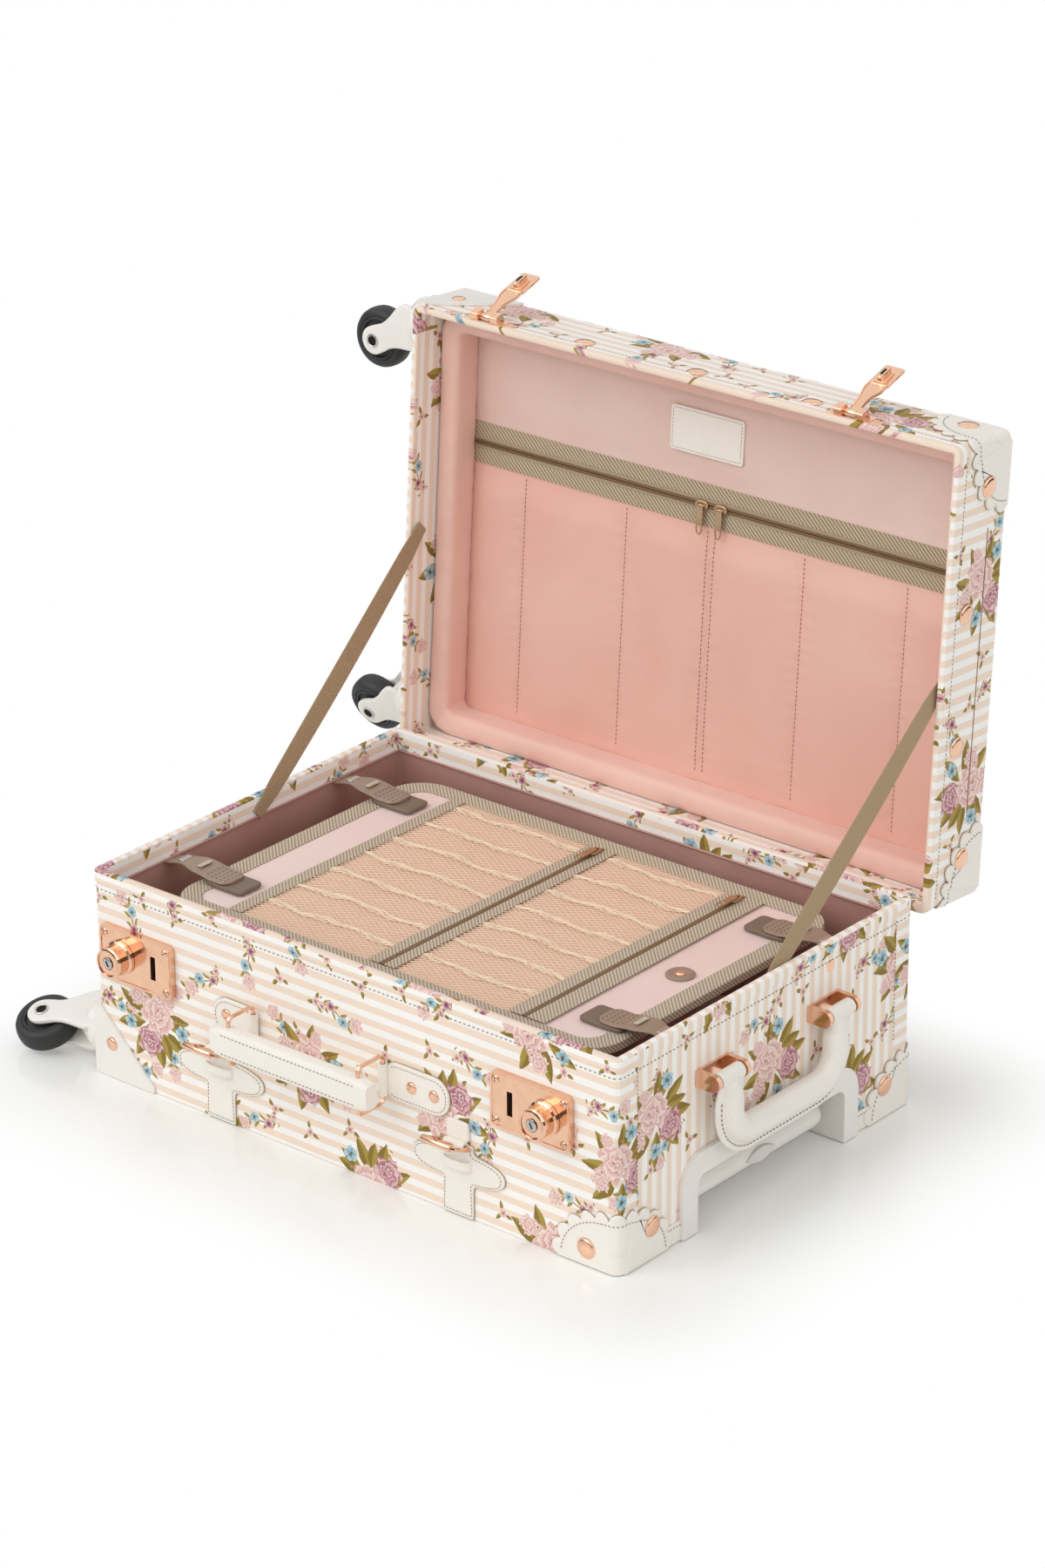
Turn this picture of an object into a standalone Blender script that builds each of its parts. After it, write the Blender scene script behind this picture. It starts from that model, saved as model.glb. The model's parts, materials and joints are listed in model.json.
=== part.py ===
"""Cabin suitcase lying open on its back: fabric-covered tray and lid, trolley handle, casters and locks.

X runs along the case from the caster end to the trolley end, -Y is the opening side with the locks,
+Y is the hinge side and Z is up. The origin is the middle of the tray's underside. Every piece is
drawn with the lid closed and the moving pieces flat, and pivots then turn it to the resting place.
"""
import math

import bmesh
import bpy
from mathutils import Matrix, Vector

# Tray and lid
BASE_LENGTH = 0.500
BASE_WIDTH = 0.345
BASE_HEIGHT = 0.167
BASE_WALL = 0.005
BASE_FLOOR = 0.004
SHELL_CORNER = 0.006
LID_DEPTH = 0.063
LID_OVERLAP = 0.021
LID_CLEARANCE = 0.0015
LID_WALL = 0.004
LID_OPEN_ANGLE = math.radians(94)
SEAT_GAP = 0.0003

# Hinge along the rear wall
HINGE_LENGTH = 0.380
HINGE_KNUCKLES = 5
HINGE_KNUCKLE_RADIUS = 0.003
HINGE_PIN_RADIUS = 0.0016
HINGE_PIN_PLAY = 0.0004
HINGE_OUTSET = 0.004
HINGE_RISE = 0.001
HINGE_LEAF_HEIGHT = 0.020
HINGE_LEAF_THICKNESS = 0.0015

# Leather corner guards at the trolley end
GUARD_REACH = 0.058
GUARD_HEIGHT = 0.048
GUARD_THICKNESS = 0.002
GUARD_SCALLOPS = 6
GUARD_SCALLOP_DEPTH = 0.0025

# Casters at the other end
HOUSING_REACH = 0.057
HOUSING_THICKNESS = 0.002
BARREL_RADIUS = 0.023
BARREL_LENGTH = 0.015
SWIVEL_FROM_SIDE = 0.024
SWIVEL_FROM_PANEL = 0.027
FORK_DISC_RADIUS = 0.019
FORK_DISC_THICKNESS = 0.007
FORK_ARM_THICKNESS = 0.0035
FORK_EYE_RADIUS = 0.008
AXLE_OUTREACH = 0.046
CASTER_TRAIL = 0.020
AXLE_RADIUS = 0.003
AXLE_PLAY = 0.0004
WHEEL_RADIUS = 0.0245
WHEEL_WIDTH = 0.018
WHEEL_SIDE_PLAY = 0.001
BASE_SWIVEL_TURN = math.radians(67)
LID_FRONT_SWIVEL_TURN = math.radians(0)
LID_REAR_SWIVEL_TURN = math.radians(22)

# Locks and hasps
LOCK_WIDTH = 0.072
LOCK_HEIGHT = 0.043
LOCK_THICKNESS = 0.005
LOCK_CORNER = 0.004
LOCK_DROP = 0.039
LOCK_LEFT_INSET = 0.046
LOCK_RIGHT_INSET = 0.075
SLOT_OFFSET = 0.018
SLOT_WIDTH = 0.005
SLOT_HEIGHT = 0.019
KNOB_RADIUS = 0.0135
KNOB_HEIGHT = 0.014
KNOB_OFFSET = 0.014
KNOB_SHAFT_RADIUS = 0.006
HASP_PLATE_WIDTH = 0.032
HASP_PLATE_HEIGHT = 0.015
HASP_PLATE_THICKNESS = 0.0015
HASP_RISE = 0.004
HASP_BARREL_RADIUS = 0.003
HASP_BARREL_LENGTH = 0.010
HASP_LUG_LENGTH = 0.005
HASP_PIN_RADIUS = 0.0014
HASP_PIN_PLAY = 0.0004
HASP_END_WIDTH = 0.020
HASP_TIP_PAST_SLOT = 0.010
HASP_THICKNESS = 0.0022
STAPLE_WIDTH = 0.0028
STAPLE_HEIGHT = 0.014
STAPLE_END_PLAY = 0.0008
HASP_OPEN_TURN = math.radians(158)

# Carry handle on the opening side
HANDLE_LEFT_FOLD = -0.087
HANDLE_RIGHT_FOLD = 0.038
HANDLE_LEVEL = 0.088
TAB_LEFT_LENGTH = 0.042
TAB_RIGHT_LENGTH = 0.060
TAB_HEIGHT = 0.030
TAB_THICKNESS = 0.0022
TAB_LOOP_RADIUS = 0.0036
RING_WIRE_RADIUS = 0.0016
RING_PLAY = 0.0005
RING_REACH = 0.027
RING_HEIGHT = 0.038
RING_BEND = 0.004
GRIP_HEIGHT = 0.024
GRIP_THICKNESS = 0.014
GRIP_OVERRUN = 0.013

# Belts on the opening side
BELT_LEFT_CENTRE = -0.124
BELT_RIGHT_CENTRE = 0.106
BELT_THICKNESS = 0.0022
BELT_STEM_WIDTH = 0.033
BELT_WING_SPAN = 0.086
BELT_WING_HEIGHT = 0.024
BELT_WING_LEVEL = 0.043
BUCKLE_LEVEL = 0.058
BUCKLE_WIDTH = 0.030
BUCKLE_REACH = 0.023
BUCKLE_WIRE_RADIUS = 0.0016
BUCKLE_LOOP_RADIUS = 0.0042
BUCKLE_BEND = 0.004
BUCKLE_REST_TURN = math.radians(25)

# Carry handle at the trolley end
END_HANDLE_LEVEL = 0.121
END_HANDLE_CENTRE = -0.003
END_HANDLE_SPACING = 0.130
END_EYE_WIDTH = 0.028
END_EYE_HEAD = 0.006
END_HANDLE_OUTSET = 0.015
END_HANDLE_DROP = 0.067
END_HANDLE_BEND = 0.021
END_HANDLE_THICKNESS = 0.018
END_PIN_RADIUS = 0.002
END_PIN_PLAY = 0.0005
CLEVIS_CHEEK = 0.004
CLEVIS_HEIGHT = 0.013
CLEVIS_PLATE = 0.002
CLEVIS_SIDE_PLAY = 0.0006

# Trolley handle in its recess at the foot of the end wall
TROLLEY_GUARD_GAP = 0.008
TROLLEY_HEIGHT = 0.063
TROLLEY_DEPTH = 0.034
TROLLEY_PROUD = 0.004
TROLLEY_CORNER = 0.024
TROLLEY_LEG = 0.017
TROLLEY_ARCH = 0.018
TROLLEY_BACK = 0.005
TROLLEY_FOOT_LIFT = 0.0005
TROLLEY_GRIP_END_PLAY = 0.010
TROLLEY_GRIP_RADIUS = 0.0105
TROLLEY_GRIP_LEVEL = 0.024
TROLLEY_GRIP_BACK_PLAY = 0.001
TUBE_FROM_GRIP_END = 0.017
TUBE_RADIUS = 0.0065
TUBE_BORE_RADIUS = 0.0052
TUBE_TAIL_ROOM = 0.017
TUBE_PLAY = 0.0005
TUBE_SOCKET_DEPTH = 0.006
TUBE_CROSSBAR_RADIUS = 0.003
GUIDE_WALL = 0.0012
GUIDE_TAIL_ROOM = 0.031
GUIDE_FOOT_LENGTH = 0.016
BUTTON_LENGTH = 0.034
BUTTON_HEIGHT = 0.011
BUTTON_PROUD = 0.0012
BUTTON_TRAVEL = 0.0025
BUTTON_THICKNESS = 0.004

# Divider board with its two net pockets, zips and hold-down clips
DIVIDER_LENGTH = 0.410
DIVIDER_WIDTH = 0.286
DIVIDER_THICKNESS = 0.006
DIVIDER_CORNER = 0.030
DIVIDER_DROP = 0.021
NET_LEFT_EDGE = -0.154
ZIP_MIDDLE = -0.005
ZIP_RIGHT = 0.129
ZIP_LANE = 0.012
NET_EDGE_MARGIN = 0.014
NET_THICKNESS = 0.0012
NET_STRAND = 0.0022
NET_ROWS = 12
NET_COLUMNS = 7
ZIP_SLIDER_LENGTH = 0.012
ZIP_SLIDER_WIDTH = 0.008
ZIP_SLIDER_HEIGHT = 0.0035
ZIP_PULL_LENGTH = 0.024
ZIP_PULL_WIDTH = 0.006
ZIP_PULL_THICKNESS = 0.0014
ZIP_END_MARGIN = 0.026
CLIP_SPACING = 0.190
CLIP_WIDTH = 0.026
CLIP_LENGTH = 0.038
CLIP_THICKNESS = 0.004
CLIP_ARCH = 0.008
CLIP_STRAP_THICKNESS = 0.002

# Soft parts of the lid
ROLL_FACE = 0.016
ROLL_RIM_CLEARANCE = 0.003
ROLL_CROWN = 0.004
ROLL_CORNER = 0.012
POCKET_THICKNESS = 0.0035
POCKET_PUFF = 0.0025
POCKET_CHANNELS = 6
POCKET_ZIP_FROM_FRONT = 0.110
POCKET_ZIP_BAND = 0.033
LID_ZIP_SPACING = 0.018

# Webbing stays that hold the lid open
STAY_WIDTH = 0.016
STAY_THICKNESS = 0.0012
STAY_BASE_DROP = 0.012
STAY_LID_DEPTH = 0.010
STAY_BASE_GAP = 0.0008

ROUND_STEPS = 24
SMOOTH_ANGLE = math.radians(35)

# Places that follow from the sizes
END = BASE_LENGTH / 2
FRONT = -BASE_WIDTH / 2
LID_RIM = BASE_HEIGHT - LID_OVERLAP
LID_TOP = LID_RIM + LID_DEPTH
LID_END_INSIDE = END + LID_CLEARANCE
LID_END = LID_END_INSIDE + LID_WALL
LID_FRONT_INSIDE = FRONT - LID_CLEARANCE
LID_FRONT = LID_FRONT_INSIDE - LID_WALL
LID_REAR = -LID_FRONT
LID_PANEL_INSIDE = LID_TOP - LID_WALL
HINGE_AXIS = Vector((0, LID_REAR + HINGE_OUTSET, LID_RIM + HINGE_RISE))
LOCK_LEVEL = LID_RIM - LOCK_DROP
LOCK_LEFT = -END + LOCK_LEFT_INSET
LOCK_RIGHT = END - LOCK_RIGHT_INSET
DIVIDER_TOP = BASE_HEIGHT - DIVIDER_DROP
TUBE_LEVEL = TROLLEY_GRIP_LEVEL
TROLLEY_WIDTH = BASE_WIDTH - 2 * (GUARD_REACH + GUARD_SCALLOP_DEPTH + TROLLEY_GUARD_GAP)
TROLLEY_GRIP_LENGTH = TROLLEY_WIDTH - 2 * (TROLLEY_LEG + TROLLEY_GRIP_END_PLAY)
TUBE_SPACING = TROLLEY_GRIP_LENGTH - 2 * TUBE_FROM_GRIP_END


def clear_scene():
    """Remove every object that the scene holds."""
    for found in list(bpy.data.objects):
        bpy.data.objects.remove(found, do_unlink=True)


def finish_of(name, colour, roughness, metallic=0.0):
    """Principled material of one colour."""
    material = bpy.data.materials.new(name)
    material.use_nodes = True
    shader = material.node_tree.nodes["Principled BSDF"]
    shader.inputs["Base Color"].default_value = (*colour, 1)
    shader.inputs["Roughness"].default_value = roughness
    shader.inputs["Metallic"].default_value = metallic
    return material


def extruded(outline, axis, low, high):
    """Prism of a flat outline carried along one axis between two levels."""
    bm = bmesh.new()
    place = "xyz".index(axis)
    rows = []
    for level in (low, high):
        row = []
        for pair in outline:
            point = list(pair)
            point.insert(place, level)
            row.append(bm.verts.new(point))
        rows.append(row)
        bm.faces.new(row)
    lower, upper = rows
    for this in range(len(outline)):
        after = (this + 1) % len(outline)
        bm.faces.new((lower[this], lower[after], upper[after], upper[this]))
    return bm


def block(low, high):
    """Box between two opposite corners."""
    outline = [(low[0], low[1]), (high[0], low[1]), (high[0], high[1]), (low[0], high[1])]
    return extruded(outline, "z", low[2], high[2])


def arc(centre, radius, start, stop, steps):
    """Points of a circle's arc from one angle to another, both ends included."""
    angles = [start + (stop - start) * step / steps for step in range(steps + 1)]
    return [(centre[0] + radius * math.cos(a), centre[1] + radius * math.sin(a)) for a in angles]


def rounded_rectangle(low, high, radius, steps=3):
    """Outline of a rectangle with round corners, counter-clockwise."""
    centres = [
        (high[0] - radius, high[1] - radius),
        (low[0] + radius, high[1] - radius),
        (low[0] + radius, low[1] + radius),
        (high[0] - radius, low[1] + radius),
    ]
    outline = []
    for quarter, centre in enumerate(centres):
        start = quarter * math.pi / 2
        outline += arc(centre, radius, start, start + math.pi / 2, steps)
    return outline


def turned(profile, centre, axis, steps=ROUND_STEPS):
    """Body turned about an axis, from (radius, along) points; radius 0 closes it on the axis.

    A profile that never meets the axis is closed on itself, as a ring.
    """
    bm = bmesh.new()
    along = Vector(axis).normalized()
    side = along.orthogonal().normalized()
    other = along.cross(side)
    rings = []
    for radius, level in profile:
        middle = Vector(centre) + along * level
        if radius == 0:
            rings.append([bm.verts.new(middle)] * steps)
            continue
        ring = []
        for step in range(steps):
            angle = 2 * math.pi * step / steps
            ring.append(bm.verts.new(middle + radius * (math.cos(angle) * side + math.sin(angle) * other)))
        rings.append(ring)
    if profile[0][0] > 0:
        rings.append(rings[0])
    for one, two in zip(rings, rings[1:]):
        for step in range(steps):
            after = (step + 1) % steps
            corners = [one[step], one[after], two[after], two[step]]
            bm.faces.new(list(dict.fromkeys(corners)))
    return bm


def rod(start, stop, radius, steps=ROUND_STEPS):
    """Solid round bar between two points."""
    length = (Vector(stop) - Vector(start)).length
    profile = [(0, 0), (radius, 0), (radius, length), (0, length)]
    return turned(profile, start, Vector(stop) - Vector(start), steps)


def swept(path, normal, section, closed=False):
    """Section carried along a flat path; its points are (outward in the path's plane, along its normal)."""
    bm = bmesh.new()
    normal = Vector(normal).normalized()
    points = [Vector(point) for point in path]
    last = len(points) - 1
    rings = []
    for this, point in enumerate(points):
        before = points[this - 1] if closed or this > 0 else point
        after = points[(this + 1) % len(points)] if closed or this < last else point
        outward = (after - before).normalized().cross(normal)
        rings.append([bm.verts.new(point + a * outward + b * normal) for a, b in section])
    if closed:
        rings.append(rings[0])
    else:
        bm.faces.new(rings[0])
        bm.faces.new(rings[-1])
    for one, two in zip(rings, rings[1:]):
        for side in range(len(section)):
            after = (side + 1) % len(section)
            bm.faces.new((one[side], one[after], two[after], two[side]))
    return bm


def round_section(radius, sides=8):
    """Section of a round wire."""
    angles = [2 * math.pi * (side + 0.5) / sides for side in range(sides)]
    return [(radius * math.cos(angle), radius * math.sin(angle)) for angle in angles]


def bevel_edges(bm, chosen, width, segments):
    """Round the edges for which chosen(edge) is true."""
    edges = [edge for edge in bm.edges if chosen(edge)]
    bmesh.ops.bevel(bm, geom=edges, offset=width, segments=segments, profile=0.5, affect="EDGES")
    return bm


def is_level(edge):
    """Whether an edge's two ends are at one height."""
    return abs(edge.verts[0].co.z - edge.verts[1].co.z) < 1e-6


def piece(name, bm, material=None):
    """Named object from a closed mesh, with its faces pointing out."""
    bmesh.ops.recalc_face_normals(bm, faces=bm.faces)
    mesh = bpy.data.meshes.new(name)
    bm.to_mesh(mesh)
    bm.free()
    smooth(mesh)
    made = bpy.data.objects.new(name, mesh)
    bpy.context.scene.collection.objects.link(made)
    if material:
        mesh.materials.append(material)
    return made


def smooth(mesh):
    """Shade round faces smooth and keep the true edges sharp."""
    mesh.shade_smooth()
    mesh.set_sharp_from_angle(angle=SMOOTH_ANGLE)


def combine(body, others, operation):
    """Join other bodies to a piece, or cut them out of it, and keep the result as its mesh."""
    tools = [piece(f"{body.name}_tool", bm) for bm in others]
    for tool in tools:
        modifier = body.modifiers.new(operation.lower(), "BOOLEAN")
        modifier.operation = operation
        modifier.object = tool
    graph = bpy.context.evaluated_depsgraph_get()
    body.data = bpy.data.meshes.new_from_object(body.evaluated_get(graph))
    body.modifiers.clear()
    smooth(body.data)
    for tool in tools:
        bpy.data.objects.remove(tool, do_unlink=True)
    return body


def fused(body, *others):
    """The piece joined with other bodies."""
    return combine(body, others, "UNION")


def cut(body, *others):
    """The piece with other bodies cut out of it."""
    return combine(body, others, "DIFFERENCE")


class Pivot:
    """Empty on a joint's axis; what hangs from it is drawn in the closed, flat state."""

    def __init__(self, name, point, turn_axis="X", turn=0.0, parent=None):
        self.point = Vector(point)
        self.empty = bpy.data.objects.new(name, None)
        bpy.context.scene.collection.objects.link(self.empty)
        self.empty.location = self.point
        if parent:
            self.empty.parent = parent.empty
            self.empty.location = self.point - parent.point
        self.empty.rotation_euler["XYZ".index(turn_axis)] = turn

    def carry(self, *pieces):
        """Hang pieces from the pivot, in the places where they are drawn."""
        for carried in pieces:
            carried.parent = self.empty
            carried.location = -self.point


def tray(name, low, high, corner, wall, floor, material):
    """Open box with round upright edges; the opening is at the top."""
    outside = rounded_rectangle(low[:2], high[:2], corner)
    inside = rounded_rectangle(
        (low[0] + wall, low[1] + wall), (high[0] - wall, high[1] - wall), max(corner - wall, wall / 4)
    )
    shell = piece(name, extruded(outside, "z", low[2], high[2]), material)
    return cut(shell, extruded(inside, "z", low[2] + floor, high[2] + floor))


def trolley_outline(grow):
    """Arch-topped outline of the trolley housing, seen along X, grown by a margin."""
    half = TROLLEY_WIDTH / 2 + grow
    top = TROLLEY_HEIGHT + grow
    radius = TROLLEY_CORNER + grow
    outline = [(-half, TROLLEY_FOOT_LIFT - grow), (half, TROLLEY_FOOT_LIFT - grow)]
    outline += arc((half - radius, top - radius), radius, 0, math.pi / 2, 5)
    outline += arc((radius - half, top - radius), radius, math.pi / 2, math.pi, 5)
    return outline


def make_base_shell(fabric):
    """Covered tray with the recess for the trolley housing in its end wall and floor."""
    shell = tray(
        "base_shell",
        (-END, FRONT, 0),
        (END, -FRONT, BASE_HEIGHT),
        SHELL_CORNER,
        BASE_WALL,
        BASE_FLOOR,
        fabric,
    )
    recess = extruded(trolley_outline(SEAT_GAP), "x", END - TROLLEY_DEPTH - SEAT_GAP, END + TROLLEY_DEPTH)
    slit = block(
        (END - TROLLEY_DEPTH - SEAT_GAP, -TROLLEY_WIDTH / 2 - SEAT_GAP, -BASE_FLOOR),
        (END + TROLLEY_DEPTH, TROLLEY_WIDTH / 2 + SEAT_GAP, BASE_FLOOR),
    )
    return cut(shell, recess, slit)


def make_lid_shell(fabric):
    """Covered lid, drawn upside down as a tray and then turned over."""
    shell = tray(
        "lid_shell",
        (-LID_END, LID_FRONT, -LID_TOP),
        (LID_END, LID_REAR, -LID_RIM),
        SHELL_CORNER,
        LID_WALL,
        LID_WALL,
        fabric,
    )
    shell.data.transform(Matrix.Rotation(math.pi, 4, "X"))
    return shell


def corner_frame(end, side, panel, along, across, up):
    """Matrix from a corner's own axes (in from the end, in from the side, in from the panel)."""
    columns = Matrix.Diagonal((along, across, up, 1))
    return Matrix.Translation((end, side, panel)) @ columns


def scalloped_quarter(low):
    """Quarter disc at a corner, with a scalloped edge and its straight sides carried on to low."""
    steps = GUARD_SCALLOPS * 4
    outline = [(low, 0)]
    for step in range(steps + 1):
        angle = math.pi / 2 * step / steps
        lobe = abs(math.sin(2 * GUARD_SCALLOPS * angle))
        along = GUARD_REACH + GUARD_SCALLOP_DEPTH * lobe
        up = GUARD_HEIGHT + GUARD_SCALLOP_DEPTH * lobe
        outline.append((along * math.cos(angle), up * math.sin(angle)))
    outline.append((low, GUARD_HEIGHT))
    return outline


def make_guard(name, frame, leather):
    """Leather guard over a corner: a scalloped leaf on the side wall and one on the end wall."""
    low = -SEAT_GAP - GUARD_THICKNESS
    leaf = extruded(scalloped_quarter(low), "y", low, -SEAT_GAP)
    end_leaf = extruded(scalloped_quarter(low), "x", low, -SEAT_GAP)
    leaf.transform(frame)
    end_leaf.transform(frame)
    return fused(piece(name, leaf, leather), end_leaf)


def make_housing(name, frame, plastic):
    """Caster housing: a three-cornered leaf on the side wall, a plate on the end wall and a round barrel."""
    low = -SEAT_GAP - HOUSING_THICKNESS
    blunt = HOUSING_REACH / 12
    leaf_outline = [
        (low, 0),
        (HOUSING_REACH, 0),
        (HOUSING_REACH, blunt),
        (blunt, HOUSING_REACH),
        (low, HOUSING_REACH),
    ]
    leaf = extruded(leaf_outline, "y", low, -SEAT_GAP)
    plate_high = SWIVEL_FROM_SIDE + BARREL_RADIUS
    plate_outline = rounded_rectangle((low, 0), (plate_high, HOUSING_REACH), HOUSING_REACH / 4)
    plate = extruded(plate_outline, "x", low, -SEAT_GAP)
    barrel = turned(
        [
            (0, SEAT_GAP),
            (BARREL_RADIUS, SEAT_GAP),
            (BARREL_RADIUS, BARREL_LENGTH - HOUSING_THICKNESS),
            (FORK_DISC_RADIUS, BARREL_LENGTH),
            (0, BARREL_LENGTH),
        ],
        (0, SWIVEL_FROM_SIDE, SWIVEL_FROM_PANEL),
        (-1, 0, 0),
    )
    for part in (leaf, plate, barrel):
        part.transform(frame)
    return fused(piece(name, leaf, plastic), plate, barrel)


def fork_arm_outline():
    """Gooseneck of a fork arm in (outward, trailing) axes: broad at the disc, an eye at the axle."""
    root = FORK_DISC_THICKNESS / 2
    neck = FORK_DISC_RADIUS * 0.7
    eye = arc((AXLE_OUTREACH, CASTER_TRAIL), FORK_EYE_RADIUS, -math.pi / 3, math.pi * 2 / 3, 8)
    outline = [(root, -neck), (AXLE_OUTREACH / 3, -neck / 2)]
    outline += eye
    outline += [(AXLE_OUTREACH / 2, neck * 1.3), (root, neck)]
    return outline


def make_fork(name, swivel, plastic):
    """Swivelling fork drawn with its trail straight down: disc, two arms and the axle."""
    inner = WHEEL_WIDTH / 2 + WHEEL_SIDE_PLAY
    outer = inner + FORK_ARM_THICKNESS
    disc_back = swivel + Vector((-SEAT_GAP, 0, 0))
    disc_face = swivel + Vector((-FORK_DISC_THICKNESS, 0, 0))
    disc = rod(disc_back, disc_face, FORK_DISC_RADIUS)
    arms = []
    for low, high in ((inner, outer), (-outer, -inner)):
        arms.append(extruded([(-out, -trail) for out, trail in fork_arm_outline()], "y", low, high))
    axle_at = Vector((-AXLE_OUTREACH, 0, -CASTER_TRAIL))
    axle_half = Vector((0, inner + FORK_ARM_THICKNESS / 2, 0))
    arms.append(rod(axle_at - axle_half, axle_at + axle_half, AXLE_RADIUS, 12))
    for arm in arms[:2]:
        arm.transform(Matrix.Translation(swivel))
    arms[2].transform(Matrix.Translation(swivel))
    return fused(piece(name, disc, plastic), *arms)


def make_wheel(name, axle, rubber):
    """Wheel on its axle: rounded tyre, sunk sides and a bore."""
    half = WHEEL_WIDTH / 2
    round_off = WHEEL_WIDTH / 4
    sunk = WHEEL_WIDTH / 8
    hub = WHEEL_RADIUS * 0.62
    bore = AXLE_RADIUS + AXLE_PLAY
    side = [
        (bore, half),
        (bore * 2, half),
        (bore * 2.2, half - sunk),
        (hub, half - sunk),
        (hub * 1.12, half),
        (WHEEL_RADIUS - round_off, half),
        (WHEEL_RADIUS - round_off / 4, half - round_off / 2),
        (WHEEL_RADIUS, half - round_off * 1.2),
    ]
    profile = side + [(radius, -level) for radius, level in reversed(side)]
    return piece(name, turned(profile, axle, (0, 1, 0), 28), rubber)


def make_caster(label, swivel, turn, plastic, rubber, parent=None):
    """Fork on its swivel and wheel on its axle, turned about the case's length."""
    swivel = Vector(swivel)
    axle = swivel + Vector((-AXLE_OUTREACH, 0, -CASTER_TRAIL))
    swivel_pivot = Pivot(f"{label}_swivel", swivel, "X", turn, parent)
    axle_pivot = Pivot(f"{label}_axle", axle, "Y", 0.0, swivel_pivot)
    swivel_pivot.carry(make_fork(f"{label}_fork", swivel, plastic))
    axle_pivot.carry(make_wheel(f"{label}_wheel", axle, rubber))


def make_hinge(copper, lid_pivot):
    """Two leaves of a long hinge whose knuckles alternate; the pin belongs to the tray's leaf."""
    step = HINGE_LENGTH / HINGE_KNUCKLES
    half = HINGE_LENGTH / 2
    rear = -FRONT + SEAT_GAP
    axis_y, axis_z = HINGE_AXIS.y, HINGE_AXIS.z
    radius = HINGE_KNUCKLE_RADIUS
    thick = HINGE_LEAF_THICKNESS
    arm_top = axis_z - radius + thick * 0.7
    arm_low = arm_top - thick
    base_plate = block((-half, rear, arm_low - HINGE_LEAF_HEIGHT), (half, rear + thick, arm_top))
    base_leaf = piece("hinge_base_leaf", base_plate, copper)
    lid_low = axis_z + radius + 2 * SEAT_GAP
    lid_face = LID_REAR + SEAT_GAP
    lid_plate = block((-half, lid_face, lid_low), (half, lid_face + thick, lid_low + HINGE_LEAF_HEIGHT))
    lid_leaf = piece("hinge_lid_leaf", lid_plate, copper)
    for number in range(HINGE_KNUCKLES):
        start = -half + number * step + SEAT_GAP
        stop = start + step - 2 * SEAT_GAP
        if number % 2 == 0:
            arm = block((start, rear, arm_low), (stop, axis_y, arm_top))
            fused(base_leaf, arm, rod((start, axis_y, axis_z), (stop, axis_y, axis_z), radius, 16))
        else:
            web = block((start, lid_face, axis_z), (stop, lid_face + thick * 1.5, lid_low + thick))
            barrel = rod((start, axis_y, axis_z), (stop, axis_y, axis_z), radius, 16)
            fused(lid_leaf, web, barrel)
            bore = HINGE_PIN_RADIUS + HINGE_PIN_PLAY
            past = step / 8
            cut(lid_leaf, rod((start - past, axis_y, axis_z), (stop + past, axis_y, axis_z), bore, 12))
    pin_half = half - step / 2
    fused(base_leaf, rod((-pin_half, axis_y, axis_z), (pin_half, axis_y, axis_z), HINGE_PIN_RADIUS, 12))
    lid_pivot.carry(lid_leaf)


def make_lock(label, centre, inner_side, copper, lid_pivot):
    """Lock plate with its slot, turning knob, and the hasp that folds down from the lid."""
    face = FRONT - SEAT_GAP
    plate_outline = rounded_rectangle(
        (centre - LOCK_WIDTH / 2, LOCK_LEVEL - LOCK_HEIGHT / 2),
        (centre + LOCK_WIDTH / 2, LOCK_LEVEL + LOCK_HEIGHT / 2),
        LOCK_CORNER,
    )
    plate = piece(f"lock_plate_{label}", extruded(plate_outline, "y", face - LOCK_THICKNESS, face), copper)
    slot = centre + inner_side * SLOT_OFFSET
    knob = centre - inner_side * KNOB_OFFSET
    slot_cut = block(
        (slot - SLOT_WIDTH / 2, face - 2 * LOCK_THICKNESS, LOCK_LEVEL - SLOT_HEIGHT / 2),
        (slot + SLOT_WIDTH / 2, face + LOCK_THICKNESS, LOCK_LEVEL + SLOT_HEIGHT / 2),
    )
    shaft_hole = rod(
        (knob, face + LOCK_THICKNESS, LOCK_LEVEL),
        (knob, face - 2 * LOCK_THICKNESS, LOCK_LEVEL),
        KNOB_SHAFT_RADIUS + SEAT_GAP,
    )
    cut(plate, slot_cut, shaft_hole)
    seat = LOCK_THICKNESS + SEAT_GAP
    crown = KNOB_HEIGHT + seat
    well = KNOB_RADIUS * 0.4
    step = KNOB_HEIGHT / 5
    knob_profile = [
        (0, SEAT_GAP),
        (KNOB_SHAFT_RADIUS, SEAT_GAP),
        (KNOB_SHAFT_RADIUS, seat),
        (KNOB_RADIUS, seat),
        (KNOB_RADIUS, seat + step),
        (KNOB_RADIUS * 0.88, seat + step * 1.4),
        (KNOB_RADIUS * 0.88, crown - step / 2),
        (KNOB_RADIUS * 0.8, crown),
        (well, crown),
        (well, crown - step / 2),
        (0, crown - step / 2),
    ]
    knob_pivot = Pivot(f"lock_knob_{label}_axis", (knob, face, LOCK_LEVEL), "Y")
    knob_mesh = turned(knob_profile, (knob, face, LOCK_LEVEL), (0, -1, 0))
    knob_pivot.carry(piece(f"lock_knob_{label}", knob_mesh, copper))
    make_hasp(label, slot, copper, lid_pivot)


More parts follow.
